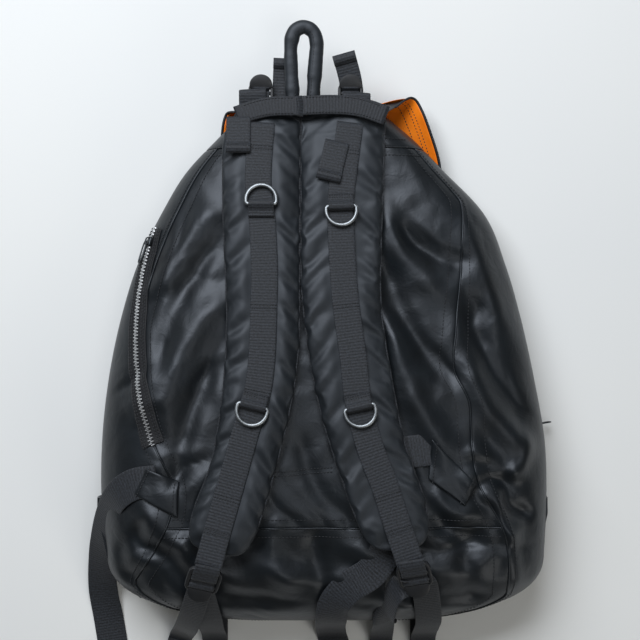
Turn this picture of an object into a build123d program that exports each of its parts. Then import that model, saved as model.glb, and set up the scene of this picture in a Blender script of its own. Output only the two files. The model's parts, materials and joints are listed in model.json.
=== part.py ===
"""Travel backpack, lying on its front with the harness side up.

X runs across the bag, +Y points at the grab handle and +Z comes out of the back panel.
The origin is the middle of the footprint, on the surface that the bag lies on. Millimetres.
"""

import os
from math import cos, radians, sin

from build123d import *

os.makedirs("parts", exist_ok=True)

# ---- bag body: (y, half width, height of the harness side) from the mouth to the base ----
STATIONS = [
    (241, 70, 56),
    (205, 108, 61),
    (150, 157, 68),
    (80, 186, 78),
    (0, 206, 89),
    (-80, 217, 99),
    (-150, 217, 108),
    (-200, 206, 103),
    (-235, 176, 84),
    (-255, 130, 52),
]
BODY_X = 7.0  # the slumped body is centred a little right of the harness
FLOOR_GAP = 5.0  # the front pocket and the lid lie under the front panel
WALL = 3.0
LINING = 1.0
SHOULDER = 86.0  # how far the sides take to fall from the flat top
RIM_SHARE = 0.34  # height of the widest line, as a share of the body's height

# ---- seams that divide the shell into its sewn panels ----
SEAM_LEFT = -135.0
SEAM_RIGHT = 142.0
SEAM_FRONT = 14.0
SEAM_COLLAR = 205.0
SEAM_BASE = -235.0

# ---- webbing, wire and thicknesses ----
WEB = 25.0
WAIST_WEB = 30.0
WEB_THICK = 1.6
RING_WIRE = 3.5
RING_INNER = 25.0
RING_ARM = 4.0
RING_BEND = 2.6
PAD_THICK = 14.0
PAD_COVER = 2.0
FIT = 0.4

# ---- harness plane: the pads lie on it, parallel to the back panel's slope ----
SLOPE = 0.1355
HARNESS = Plane(origin=(0, 0, 92.0), x_dir=(1, 0, 0), z_dir=(0, SLOPE, 1))
HARNESS_X = -14.0  # the two pads meet on this line


def station_at(y):
    """Half width and height of the body at y, straight between two stations."""
    for (y0, w0, h0), (y1, w1, h1) in zip(STATIONS, STATIONS[1:]):
        if y >= y1:
            share = (y0 - y) / (y0 - y1)
            return w0 + share * (w1 - w0), h0 + share * (h1 - h0)
    return STATIONS[-1][1:]


def skin_z(x, y, clear=2.0):
    """Height just above the body's skin at (x, y)."""
    half, top = station_at(y)
    rim = FLOOR_GAP + RIM_SHARE * (top - FLOOR_GAP)
    out = abs(x - BODY_X) - (half - SHOULDER * half / 217)
    reach = SHOULDER * half / 217
    if out <= 0:
        return top + clear
    if out >= reach:
        return rim + clear
    return rim + (top - rim) * (1 - (out / reach) ** 2) ** 0.5 + clear


def body_outline(half, top, inset):
    """Closed section: flat top, long elliptic shoulders, tucked lower edges, flat underside."""
    side = SHOULDER * half / 217
    rim = FLOOR_GAP + RIM_SHARE * (top - FLOOR_GAP)
    tuck = rim - FLOOR_GAP
    a, low, high = half - inset, FLOOR_GAP + inset, top - inset
    left, right = BODY_X - half + side, BODY_X + half - side
    lower_left, lower_right = BODY_X - half + tuck, BODY_X + half - tuck
    EllipticalCenterArc((left, rim), side - inset, high - rim, 90, arc_size=90)
    EllipticalCenterArc((lower_left, rim), tuck - inset, rim - low, 180, arc_size=90)
    Line((lower_left, low), (lower_right, low))
    EllipticalCenterArc((lower_right, rim), tuck - inset, rim - low, 270, arc_size=90)
    EllipticalCenterArc((right, rim), side - inset, high - rim, 0, arc_size=90)
    Line((right, high), (left, high))


def body_solid(inset, mouth_over, base_in):
    """Loft through the stations, each pulled in by inset; it runs past the mouth by mouth_over."""
    stations = list(STATIONS)
    stations[0] = (STATIONS[0][0] + mouth_over, *STATIONS[0][1:])
    stations[-1] = (STATIONS[-1][0] + base_in, *STATIONS[-1][1:])
    with BuildPart() as body:
        for y, half, top in stations:
            with BuildSketch(Plane.XZ.offset(-y)):
                with BuildLine():
                    body_outline(half, top, inset)
                make_face()
        loft(ruled=True)
    return body.part


shell = body_solid(0, 0, 0)
cavity = body_solid(WALL, 1, WALL)
LINING_INSET = WALL + 0.4
lining_outer = body_solid(LINING_INSET, -0.5, LINING_INSET)
lining_inner = body_solid(LINING_INSET + LINING, 2, LINING_INSET + LINING)

ABOVE, BELOW = Keep.TOP, Keep.BOTTOM


def finish(part, name):
    """Label a sub-part and write its STEP file."""
    part.label = name
    export_step(part, f"parts/{name}.step")
    print(f"{name:28s} {part.volume / 1000:9.2f} cm3  solids {len(part.solids())}")


def sewn_panel(name, cuts):
    """A panel of the hollow shell: what is left on one side of each cutting plane."""
    with BuildPart() as panel:
        add(shell)
        add(cavity, mode=Mode.SUBTRACT)
        for plane, keep in cuts:
            split(bisect_by=plane, keep=keep)
    finish(panel.part, name)


def x_at(x):
    return Plane.YZ.offset(x)


def y_at(y):
    return Plane.XZ.offset(-y)


def z_at(z):
    return Plane.XY.offset(z)


# Plane.XZ faces -Y, so its top side is the one nearer the base.
BETWEEN = [(y_at(SEAM_COLLAR), ABOVE), (y_at(SEAM_BASE), BELOW)]
sewn_panel("collar", [(y_at(SEAM_COLLAR), BELOW)])
sewn_panel("base_panel", [(y_at(SEAM_BASE), ABOVE)])
sewn_panel("front_panel", BETWEEN + [(z_at(SEAM_FRONT), BELOW)])
sewn_panel("left_gusset", BETWEEN + [(z_at(SEAM_FRONT), ABOVE), (x_at(SEAM_LEFT), BELOW)])
sewn_panel("right_gusset", BETWEEN + [(z_at(SEAM_FRONT), ABOVE), (x_at(SEAM_RIGHT), ABOVE)])
sewn_panel(
    "back_panel",
    BETWEEN + [(z_at(SEAM_FRONT), ABOVE), (x_at(SEAM_LEFT), ABOVE), (x_at(SEAM_RIGHT), BELOW)],
)

with BuildPart() as main_lining:
    add(lining_outer)
    add(lining_inner, mode=Mode.SUBTRACT)
finish(main_lining.part, "main_lining")


# ---- stiffening foam behind the back panel, inside the lining ----
FOAM_TOP = -9.8  # below the harness plane, just under the lining
with BuildPart() as back_foam:
    with BuildSketch(HARNESS.offset(FOAM_TOP)):
        with Locations((BODY_X, 0)):
            RectangleRounded(176, 276, 30)
    extrude(amount=-5)
finish(back_foam.part, "back_foam")


# ---- helpers for webbing ----
def ribbon(stations, width, thickness=WEB_THICK):
    """Flat webbing lofted through (centre, run direction, width direction) sections."""
    with BuildPart() as web:
        for centre, run, across in stations:
            with BuildSketch(Plane(origin=centre, x_dir=across, z_dir=run)):
                Rectangle(width, thickness)
        loft(ruled=True)
    return web.part


def run_of(points, across=None):
    """Sections along a row of points: each faces its neighbours, flat to the harness plane."""
    stations = []
    for i, point in enumerate(points):
        before, after = Vector(points[max(i - 1, 0)]), Vector(points[min(i + 1, len(points) - 1)])
        run = (after - before).normalized()
        side = Vector(across[i]) if across else HARNESS.z_dir.cross(run)
        side = (side - run * side.dot(run)).normalized()
        stations.append((Vector(point), run, side))
    return stations


def folded_web(path, x_centre, width, bend):
    """Webbing whose path lies in a YZ plane, with rounded bends, width along X."""
    with BuildPart() as web:
        with BuildSketch(Plane.YZ.offset(x_centre)):
            with BuildLine():
                FilletPolyline(*path, radius=bend)
                offset(amount=WEB_THICK, side=Side.LEFT)
            make_face()
        extrude(amount=width / 2, both=True)
    return web.part


# ---- lid: hinged on the top edge, wrapped over the mouth and lying under the front ----
LID_HALF = 118.0
LID_NECK = 70.0
LID_HEM = 100.0
LID_FRONT = 249.5
LID_END = 78.0
LID_X = 8.0
LID_THICK = 1.4
LID_LINING = 1.0
LID_WRAP = 53.5
PATCH_WIDE, PATCH_LONG, PATCH_GAP = 50.0, 25.0, 0.1
PATCH_LOW = LID_THICK + LID_LINING


def lid_layer(low, thick, inset):
    """One layer of the lid: a tall wrap over the mouth and a rounded skirt on the floor."""
    with BuildPart() as layer:
        with BuildSketch(Plane.XY.offset(low)):
            with BuildLine():
                head, foot = LID_FRONT - low, LID_END + inset
                neck, side, hem = LID_NECK - inset, LID_HALF - inset, LID_HEM - inset
                Line((-neck, head), (neck, head))
                Spline((neck, head), (LID_X + side, 200), (LID_X + hem, foot))
                Line((LID_X + hem, foot), (LID_X - hem, foot))
                Spline((LID_X - hem, foot), (LID_X - side, 200), (-neck, head))
            make_face()
        extrude(amount=thick)
        with BuildSketch(Plane.XZ.offset(-LID_FRONT + low)):
            with Locations((0, (LID_WRAP + low) / 2)):
                Rectangle(2 * (LID_NECK - inset), LID_WRAP - low)
        extrude(amount=thick)
    return layer.part


finish(lid_layer(0, LID_THICK, 0), "lid_shell")
finish(lid_layer(LID_THICK, LID_LINING, 2), "lid_lining")

PATCHES = [(-45, 100), (55, 100)]
with BuildPart() as hook_patches:
    with BuildSketch(Plane.XY.offset(PATCH_LOW)):
        with Locations(*PATCHES):
            RectangleRounded(PATCH_WIDE, PATCH_LONG, 3)
    extrude(amount=1.0)
finish(hook_patches.part, "hook_patches")
with BuildPart() as loop_patches:
    with BuildSketch(Plane.XY.offset(PATCH_LOW + 1.0 + PATCH_GAP)):
        with Locations(*PATCHES):
            RectangleRounded(PATCH_WIDE, PATCH_LONG, 3)
    extrude(amount=FLOOR_GAP - PATCH_LOW - 1.0 - PATCH_GAP)
finish(loop_patches.part, "loop_patches")

# ---- front pocket: a flat patch pocket that the bag lies on ----
POCKET_WIDE, POCKET_LONG, POCKET_Y = 260.0, 230.0, -75.0
with BuildPart() as front_pocket:
    with BuildSketch(Plane.XY):
        with Locations((BODY_X, POCKET_Y)):
            RectangleRounded(POCKET_WIDE, POCKET_LONG, 25)
    extrude(amount=FLOOR_GAP)
finish(front_pocket.part, "front_pocket")


# ---- side pockets: gathered patches on the lower gussets ----
SIDE_POCKET_Y = (-135, -232)
SIDE_POCKET_Z = (9, 52)
pocket_outer = body_solid(-3.0, 0, 0)
pocket_inner = body_solid(-0.4, 1, -1)


def side_pocket(name, plane, keep):
    """The shell just outside the body, trimmed to the pocket's band on one side."""
    (mouth, foot), (low, high) = SIDE_POCKET_Y, SIDE_POCKET_Z
    with BuildPart() as pocket:
        add(pocket_outer)
        add(pocket_inner, mode=Mode.SUBTRACT)
        for cut, side in [(y_at(mouth), ABOVE), (y_at(foot), BELOW), (z_at(low), ABOVE), (z_at(high), BELOW)]:
            split(bisect_by=cut, keep=side)
        split(bisect_by=plane, keep=keep)
    finish(pocket.part, name)


side_pocket("side_pocket_left", x_at(BODY_X - 60), BELOW)
side_pocket("side_pocket_right", x_at(BODY_X + 60), ABOVE)


# ---- shoulder pads ----
LEFT_OUTER = [(-89, 227), (-85, 130), (-82, 50), (-85, -20), (-95, -92), (-110, -134), (-119, -170)]
LEFT_INNER = [(-14.6, 227), (-14.6, 97), (-14.6, 55), (-15, 10), (-24, -50), (-44, -128), (-63, -184)]
RIGHT_OUTER = [(66, 227), (62, 93), (62, 50), (68, 2), (83, -78), (101, -130), (106, -172)]
RIGHT_INNER = [(-13.4, 227), (-13.4, 97), (-12, 60), (-6, 9), (5, -48), (26, -115), (52, -174)]
PADS = {"left": (LEFT_OUTER, LEFT_INNER), "right": (RIGHT_OUTER, RIGHT_INNER)}


def pad_outline(side, inset):
    """Two curved long edges joined by straight ends, pulled in by inset."""
    outward = -1 if side == "left" else 1
    outer, inner = PADS[side]
    outer = [(x - outward * inset, y) for x, y in outer]
    inner = [(x + outward * inset, y) for x, y in inner]
    for row in (outer, inner):
        row[0] = (row[0][0], row[0][1] - inset)
        row[-1] = (row[-1][0], row[-1][1] + inset)
    Spline(*outer)
    Line(outer[-1], inner[-1])
    Spline(*reversed(inner))
    Line(inner[0], outer[0])


for side in PADS:
    with BuildPart() as foam:
        with BuildSketch(HARNESS.offset(PAD_COVER)):
            with BuildLine():
                pad_outline(side, PAD_COVER + 4)
            make_face()
        extrude(amount=PAD_THICK - 2 * PAD_COVER)
    with BuildPart() as cover:
        with BuildSketch(HARNESS):
            with BuildLine():
                pad_outline(side, 0)
            make_face()
        extrude(amount=PAD_THICK)
        add(foam.part, mode=Mode.SUBTRACT)
    finish(foam.part, f"pad_foam_{side}")
    finish(cover.part, f"pad_cover_{side}")

# ---- webbing strips sewn along the pads, then running on to the lower ladder locks ----
WEB_LINES = {
    "left": [(-51, 226), (-54, 171), (-49.8, 130), (-47.6, 85), (-48, 49), (-49.4, 2.5), (-53.4, -31),
             (-62.9, -64), (-80.2, -127), (-89.5, -160), (-96, -186)],
    "right": [(33.3, 226), (24.5, 154), (24.4, 122), (26.2, 85), (29, 49), (35.3, 2.5), (40, -40),
              (50.7, -82), (64.3, -118), (75, -152), (85, -182)],
}
WEB_HEIGHT = PAD_THICK + 0.1 + WEB_THICK / 2


def on_harness(x, y, height):
    """A point at a height above the harness plane, from the plane's own x and y."""
    return HARNESS.from_local_coords(Vector(x, y, height))


for side, line in WEB_LINES.items():
    centres = [on_harness(x, y, WEB_HEIGHT) for x, y in line]
    strip = ribbon([(c, r, HARNESS.z_dir.cross(r)) for c, r, _ in run_of(centres)], WEB)
    finish(strip, f"pad_webbing_{side}")


# ---- D-rings, each on a webbing keeper sewn across the strip ----
RINGS = {
    "upper_left": (-50.8, 146, 0, 1),
    "upper_right": (24.5, 144, 2, -1),
    "lower_left": (-57.0, -44, -14, -1),
    "lower_right": (40.8, -45, 13, -1),
}
RING_R = (RING_INNER + RING_WIRE) / 2
RING_HEIGHT = WEB_HEIGHT + WEB_THICK / 2 + RING_WIRE / 2 + 1.7
KEEPER_WALL = 0.6
KEEPER_LONG = 13.0


def ring_plane(x, y, turn, way):
    """Local plane of a ring: X along its bar, Y towards its bow."""
    centre = on_harness(x, y, RING_HEIGHT)
    flat = Plane(origin=centre, x_dir=HARNESS.x_dir, z_dir=HARNESS.z_dir).rotated((0, 0, turn))
    return flat if way > 0 else Plane(origin=centre, x_dir=-flat.x_dir, z_dir=flat.z_dir)


for place, (x, y, turn, way) in RINGS.items():
    plane = ring_plane(x, y, turn, way)
    with BuildPart() as ring:
        with BuildLine(plane) as wire:
            Line((-RING_R + RING_BEND, 0), (RING_R - RING_BEND, 0))
            CenterArc((RING_R - RING_BEND, RING_BEND), RING_BEND, -90, 90)
            Line((RING_R, RING_BEND), (RING_R, RING_ARM))
            CenterArc((0, RING_ARM), RING_R, 0, 180)
            Line((-RING_R, RING_ARM), (-RING_R, RING_BEND))
            CenterArc((-RING_R + RING_BEND, RING_BEND), RING_BEND, 180, 90)
        with BuildSketch(Plane(origin=wire.line @ 0, z_dir=wire.line % 0)):
            Circle(RING_WIRE / 2)
        sweep()
    finish(ring.part, f"d_ring_{place}")
    with BuildPart() as keeper:
        with BuildSketch(plane.offset(-RING_WIRE / 2 - FIT - KEEPER_WALL)):
            with Locations((0, -1.0)):
                Rectangle(RING_INNER - 2 * FIT, KEEPER_LONG)
        extrude(amount=RING_WIRE + 2 * FIT + 2 * KEEPER_WALL)
        with BuildSketch(Plane(origin=plane.origin, x_dir=plane.z_dir, z_dir=plane.x_dir)):
            Circle(RING_WIRE / 2 + FIT)
        extrude(amount=RING_R, both=True, mode=Mode.SUBTRACT)
    finish(keeper.part, f"ring_keeper_{place}")
    print(f"   ring hinge {place}: {plane.origin} axis {plane.x_dir} bow {plane.y_dir}")

# ---- webbing tails folded back over the pads, below the top band ----
TABS = {"left": [(-73, 226), (-73, 197)], "right": [(22, 203), (13, 170)]}
TAIL_WEB = 22.0
for side, ends in TABS.items():
    centres = [on_harness(x, y, WEB_HEIGHT + WEB_THICK + 0.4) for x, y in ends]
    tab = ribbon([(c, r, HARNESS.z_dir.cross(r)) for c, r, _ in run_of(centres)], TAIL_WEB, 1.4)
    finish(tab, f"tail_tab_{side}")

# ---- top band across the head of the bag, over the pad ends ----
BAND_X, BAND_Y, BAND_LONG, BAND_WIDE = HARNESS_X + 11, 238.0, 141.0, 18.0
with BuildPart() as top_band:
    with BuildSketch(HARNESS):
        with Locations((BAND_X, BAND_Y)):
            Rectangle(BAND_LONG, BAND_WIDE)
    extrude(amount=3)
finish(top_band.part, "top_band")

# ---- grab handle: a padded loop that stands on the band ----
HANDLE_Y = 249.0
HANDLE_TUBE = 6.4
HANDLE_FOOT, HANDLE_TOP, HANDLE_LONG = 7.6, 13.0, 70.0
HANDLE_Z = 67.0
HANDLE_BEND = 11.5
HANDLE_PLANE = Plane(origin=(HARNESS_X + 2, HANDLE_Y, HANDLE_Z), x_dir=(1, 0, 0), z_dir=(0, 0, 1))
with BuildPart() as grab_handle:
    with BuildLine(HANDLE_PLANE) as loop:
        FilletPolyline(
            (-HANDLE_FOOT, 0), (-HANDLE_TOP, HANDLE_LONG), (HANDLE_TOP, HANDLE_LONG), (HANDLE_FOOT, 0),
            radius=HANDLE_BEND,
        )
    with BuildSketch(Plane(origin=loop.line @ 0, z_dir=loop.line % 0)):
        Circle(HANDLE_TUBE)
    sweep()
finish(grab_handle.part, "grab_handle")


# ---- ladder locks: a frame with three bars and a half-round thumb tab ----
LOCK_WIDE, LOCK_LONG, LOCK_THICK, LOCK_BAR = 32.0, 30.0, 5.0, 4.0


def ladder_lock(plane, wide=LOCK_WIDE, long=LOCK_LONG):
    """Frame in its plane's XY, hinge bar along local X at the origin, tab towards -Y."""
    slot = (long - 3 * LOCK_BAR) / 2
    with BuildPart() as lock:
        with BuildSketch(plane.offset(-LOCK_THICK / 2)):
            with Locations((0, -long / 2 + LOCK_BAR / 2)):
                RectangleRounded(wide, long, 2.5)
            with Locations((0, -LOCK_BAR / 2 - slot / 2), (0, -1.5 * LOCK_BAR - 1.5 * slot)):
                Rectangle(wide - 2 * LOCK_BAR + 1, slot, mode=Mode.SUBTRACT)
        extrude(amount=LOCK_THICK)
        with BuildSketch(plane.offset(-LOCK_THICK / 2 + 1)):
            with Locations((0, -long + LOCK_BAR / 2 + 0.5)):
                Circle(10)
            with Locations((0, -long + LOCK_BAR / 2 + 10.5)):
                Rectangle(24, 20, mode=Mode.SUBTRACT)
        extrude(amount=2.4)
    return lock.part


# A lock hangs at the end of its strip: (x, y, turn in degrees, slope of the run in degrees).
LOCKS = {"left": (-98, -193, -17, 34), "right": (88, -188, 13, 32)}


def lock_plane(side):
    x, y, turn, dip = LOCKS[side]
    start = on_harness(x, y, WEB_HEIGHT + 1.5)
    return Plane(origin=start, x_dir=(1, 0, 0), z_dir=(0, 0, 1)).rotated((dip, 0, turn))


for side in LOCKS:
    plane = lock_plane(side)
    finish(ladder_lock(plane), f"ladder_lock_{side}")
    tip = plane.from_local_coords(Vector(0, -LOCK_LONG, 0))
    print(f"   lock hinge {side}: {plane.origin} axis {plane.x_dir} tip {tip}")

# ---- lower webbing: from each lock over the base, folded on the floor and sewn to its edge ----
LOWER_X = {"left": -101.0, "right": 108.0}
for side, x in LOWER_X.items():
    path = [(-224, skin_z(x, -224) + 8), (-256, skin_z(x, -254) + 20), (-272, 36), (-282, 5.6),
            (-312, 5.6), (-312, 0.2), (-258, 0.2)]
    finish(folded_web(path, x, WEB, 2.3), f"lower_webbing_{side}")

# ---- webbing threaded over each lower lock's middle bar, and its free tail ----
TAILS = {
    "left": [(-115, -236, 100), (-122, -256, 76), (-131, -272, 34), (-137, -290, 1.4)],
    "right": [(84, -232, 104), (77, -252, 78), (72, -270, 34), (70, -300, 1.4)],
}
TAIL_LIFT = LOCK_THICK / 2 + 3.6
for side, route in TAILS.items():
    plane = lock_plane(side)
    start = plane.from_local_coords(Vector(0, -LOCK_BAR, TAIL_LIFT))
    leave = plane.from_local_coords(Vector(0, -LOCK_LONG, TAIL_LIFT))
    tail = ribbon(run_of([start, leave] + route), WEB - 2)
    finish(tail, f"lock_tail_{side}")

# ---- upper ladder locks behind the band, and their webbing tails ----
UPPER_LOCKS = {"left": (-52, 250), "right": (34, 250)}
UPPER_LOCK_Z, UPPER_TAIL_Z = 63.6, 58.6
UPPER_TAILS = {"left": [(-32, 250), (-30, 268), (-28, 290)], "right": [(32, 250), (31, 270), (29, 293)]}
for side, (x, y) in UPPER_LOCKS.items():
    plane = Plane(origin=(x, y, UPPER_LOCK_Z), x_dir=(-1, 0, 0), z_dir=(0, 0, 1))
    finish(ladder_lock(plane, 25, 17), f"upper_lock_{side}")
    row = [Vector(*point, UPPER_TAIL_Z) for point in UPPER_TAILS[side]]
    finish(ribbon(run_of(row), TAIL_WEB, 1.2), f"upper_tail_{side}")

# ---- waist wings: stitched tabs at the side seams, and the waist webbing that they hold ----
WINGS = {
    "left": [(-126, -132), (-146, -121), (-166, -110)],
    "right": [(146, -134), (128, -108), (112, -90)],
}
WING_WIDE, WING_THICK, WING_LIFT = 34.0, 2.0, 4.0
for side, row in WINGS.items():
    points = [Vector(x, y, skin_z(x, y) + WING_LIFT) for x, y in row]
    finish(ribbon(run_of(points), WING_WIDE, WING_THICK), f"waist_wing_{side}")

WAIST = {
    "left": [(-172, -107, skin_z(-172, -107) + 10), (-190, -122, 93), (-205, -150, 74), (-217, -185, 50),
             (-219, -215, 26), (-217, -240, 6), (-213, -262, 1.2), (-205, -291, 1.2)],
    "right": [(100, -84, 101.8), (80, -88, 102.3), (66, -110, 105.0), (64, -150, 110.2), (66, -174, 109.5),
              (52, -196, 108.5), (32, -210, 105), (18, -228, 97), (15, -248, 78), (15, -266, 34),
              (17, -281, 2.6), (20, -291, 1.5)],
}
WAIST_ACROSS = {
    "left": [(0.5, 0.87, 0.1), (0.6, 0.6, 0.5), (0.6, 0, 0.8), (0.75, 0, 0.66), (0.9, 0, 0.43),
             (1, 0, 0.1), (1, 0, 0), (1, 0, 0)],
    "right": None,
}
for side, row in WAIST.items():
    stations = run_of([Vector(p) for p in row], WAIST_ACROSS[side])
    finish(ribbon(stations, WAIST_WEB), f"waist_strap_{side}")

# ---- side-release buckle halves on the ends of the waist webbing ----
BUCKLE_WIDE, BUCKLE_THICK = 36.0, 9.0
BUCKLE_Y = -295.5
MALE_X, PRONG_SPACING, PRONG_WIDE = -205.0, 13.0, 5.0
with BuildPart() as buckle_male:
    with BuildSketch(Plane.XY):
        with Locations((MALE_X, BUCKLE_Y - 6)):
            RectangleRounded(BUCKLE_WIDE, 12, 2)
        with Locations((MALE_X, BUCKLE_Y - 19)):
            with GridLocations(PRONG_SPACING, 0, 3, 1):
                RectangleRounded(PRONG_WIDE, 20, 2)
    extrude(amount=BUCKLE_THICK - 2)
finish(buckle_male.part, "waist_buckle_male")
FEMALE_X, FEMALE_LONG, SOCKET_DEEP = 20.0, 29.4, 20.0
with BuildPart() as buckle_female:
    with BuildSketch(Plane.XY):
        with Locations((FEMALE_X, BUCKLE_Y - FEMALE_LONG / 2)):
            RectangleRounded(BUCKLE_WIDE, FEMALE_LONG, 4)
    extrude(amount=BUCKLE_THICK)
    with BuildSketch(Plane.XZ.offset(-BUCKLE_Y + FEMALE_LONG)):
        with Locations((FEMALE_X, BUCKLE_THICK / 2)):
            Rectangle(BUCKLE_WIDE - 5, BUCKLE_THICK - 4)
    extrude(amount=-SOCKET_DEEP, mode=Mode.SUBTRACT)
finish(buckle_female.part, "waist_buckle_female")

# ---- left side zip: an arc over the side of the bag ----
ZIP_R = 345.0
ZIP_TILT = 38.0  # the tape leans outwards by this much from the arc's own plane
ZIP_PLANE = Plane(origin=(174, 27, 62.5), x_dir=(1, 0, -0.02), z_dir=(0.03, 0.25, 0.97))
ZIP_START, ZIP_END = 163.0, 199.0
TAPE, TEETH = 26.0, 6.0
TEETH_START = ZIP_START + 3.0
SLIDER_START, SLIDER_END = ZIP_START + 0.6, ZIP_START + 2.6
PULL_END = ZIP_START + 5.0


def zip_strip(start, end, low, high, wide, steps=8):
    """A strip along the zip's arc: wide across, from low to high above its plane."""
    lean = radians(ZIP_TILT)
    stations = []
    for i in range(steps + 1):
        angle = radians(start + (end - start) * i / steps)
        radial = Vector(cos(angle), sin(angle), 0)
        inward = Vector(-radial.X * cos(lean), -radial.Y * cos(lean), sin(lean))
        out = Vector(radial.X * sin(lean), radial.Y * sin(lean), cos(lean))
        centre = radial * ZIP_R + out * (low + high) / 2
        turn = ZIP_PLANE.from_local_coords
        run = turn(Vector(-radial.Y, radial.X, 0)) - ZIP_PLANE.origin
        stations.append((turn(centre), run, turn(inward) - ZIP_PLANE.origin))
    return ribbon(stations, wide, high - low)


finish(zip_strip(ZIP_START, ZIP_END, 0, 0.8, TAPE), "left_zip_tape")
finish(zip_strip(TEETH_START, ZIP_END - 0.3, 1.0, 3.2, TEETH), "left_zip_teeth")
# The slider straddles the teeth: a top plate and two flanges, with a channel that clears them.
SLIDER_WIDE, CHANNEL_WIDE = 9.0, 7.2
with BuildPart() as left_slider:
    add(zip_strip(SLIDER_START, SLIDER_END, 1.3, 6.0, SLIDER_WIDE, 1))
    add(zip_strip(SLIDER_START - 1, SLIDER_END + 1, 0, 3.8, CHANNEL_WIDE, 1), mode=Mode.SUBTRACT)
finish(left_slider.part, "left_zip_slider")
finish(zip_strip(SLIDER_START + 0.2, PULL_END, 6.4, 7.8, 7, 2), "left_zip_pull")
print("   zip arc", ZIP_PLANE.origin, ZIP_PLANE.z_dir)

# ---- right side zip: straight along the lower side, its pull standing out ----
RZIP_START, RZIP_END = Vector(220, -66, 19), Vector(208.5, 30, 17)
RZIP_RUN = (RZIP_END - RZIP_START).normalized()
RZIP_OUT = RZIP_RUN.cross(Vector(0, 0, 1)).normalized() * cos(radians(30)) - Vector(0, 0, sin(radians(30)))
RZIP = Plane(origin=RZIP_START, x_dir=RZIP_RUN.cross(RZIP_OUT), z_dir=RZIP_OUT)
RZIP_LONG = (RZIP_END - RZIP_START).length


def right_zip_box(along, up, low, high):
    """A block on the right zip's plane: along the run, up the wall, from low to high outward."""
    with BuildPart() as block:
        with BuildSketch(RZIP.offset(low)):
            with Locations(((up[0] + up[1]) / 2, (along[0] + along[1]) / 2)):
                Rectangle(up[1] - up[0], along[1] - along[0])
        extrude(amount=high - low)
    return block.part


finish(right_zip_box((-14, RZIP_LONG + 6), (-TAPE / 2, TAPE / 2), -1.8, -1.0), "right_zip_tape")
finish(right_zip_box((8, RZIP_LONG), (-TEETH / 2, TEETH / 2), -0.9, 1.2), "right_zip_teeth")
with BuildPart() as right_slider:
    add(right_zip_box((-6, 6), (-SLIDER_WIDE / 2, SLIDER_WIDE / 2), -0.7, 3.2))
    add(right_zip_box((-7, 7), (-CHANNEL_WIDE / 2, CHANNEL_WIDE / 2), -1, 1.7), mode=Mode.SUBTRACT)
finish(right_slider.part, "right_zip_slider")
finish(right_zip_box((-0.6, 0.6), (-3.5, 3.5), 4.1, 13.6), "right_zip_pull")
print("   right zip axis", RZIP.y_dir, "normal", RZIP.z_dir, "across", RZIP.x_dir)
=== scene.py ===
"""Travel backpack lying on its front: fabric, webbing, rings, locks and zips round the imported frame.

Shapes are worked out in millimetres in the frame's own axes and written to the meshes in metres.
"""

import json
import math

import bpy
import numpy as np
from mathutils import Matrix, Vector
from mathutils.bvhtree import BVHTree


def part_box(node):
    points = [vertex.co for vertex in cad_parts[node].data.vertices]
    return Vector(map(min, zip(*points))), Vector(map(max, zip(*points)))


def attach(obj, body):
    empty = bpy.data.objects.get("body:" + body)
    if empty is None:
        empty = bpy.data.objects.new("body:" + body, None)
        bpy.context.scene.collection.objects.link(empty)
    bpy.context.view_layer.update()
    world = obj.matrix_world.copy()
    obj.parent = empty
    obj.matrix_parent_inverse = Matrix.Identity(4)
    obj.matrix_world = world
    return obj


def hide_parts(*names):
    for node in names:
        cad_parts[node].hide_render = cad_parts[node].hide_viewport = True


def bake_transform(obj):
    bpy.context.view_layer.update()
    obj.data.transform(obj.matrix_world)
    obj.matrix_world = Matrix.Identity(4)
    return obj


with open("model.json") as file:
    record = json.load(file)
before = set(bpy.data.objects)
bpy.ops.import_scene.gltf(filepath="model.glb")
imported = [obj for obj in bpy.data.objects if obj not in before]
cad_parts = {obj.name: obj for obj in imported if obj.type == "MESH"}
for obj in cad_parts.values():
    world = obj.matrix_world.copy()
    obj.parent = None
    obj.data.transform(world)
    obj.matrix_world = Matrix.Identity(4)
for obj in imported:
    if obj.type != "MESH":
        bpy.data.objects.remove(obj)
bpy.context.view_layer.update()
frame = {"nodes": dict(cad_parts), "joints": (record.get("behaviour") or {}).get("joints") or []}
MM = 0.001

# ---------------------------------------------------------------- camera, light and floor
CAMERA_X, CAMERA_Y, CAMERA_HIGH = 4.6, 37.9, 1300.0
LENS, SENSOR = 72.3, 36.0


def hex_colour(code):
    """sRGB hex to linear RGBA: below 0.04045 divide by 12.92, above it raise to 2.4."""
    c = np.array([int(code[i : i + 2], 16) / 255 for i in (1, 3, 5)])
    linear = np.where(c <= 0.04045, c / 12.92, ((c + 0.055) / 1.055) ** 2.4)
    return (*linear, 1.0)


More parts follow.
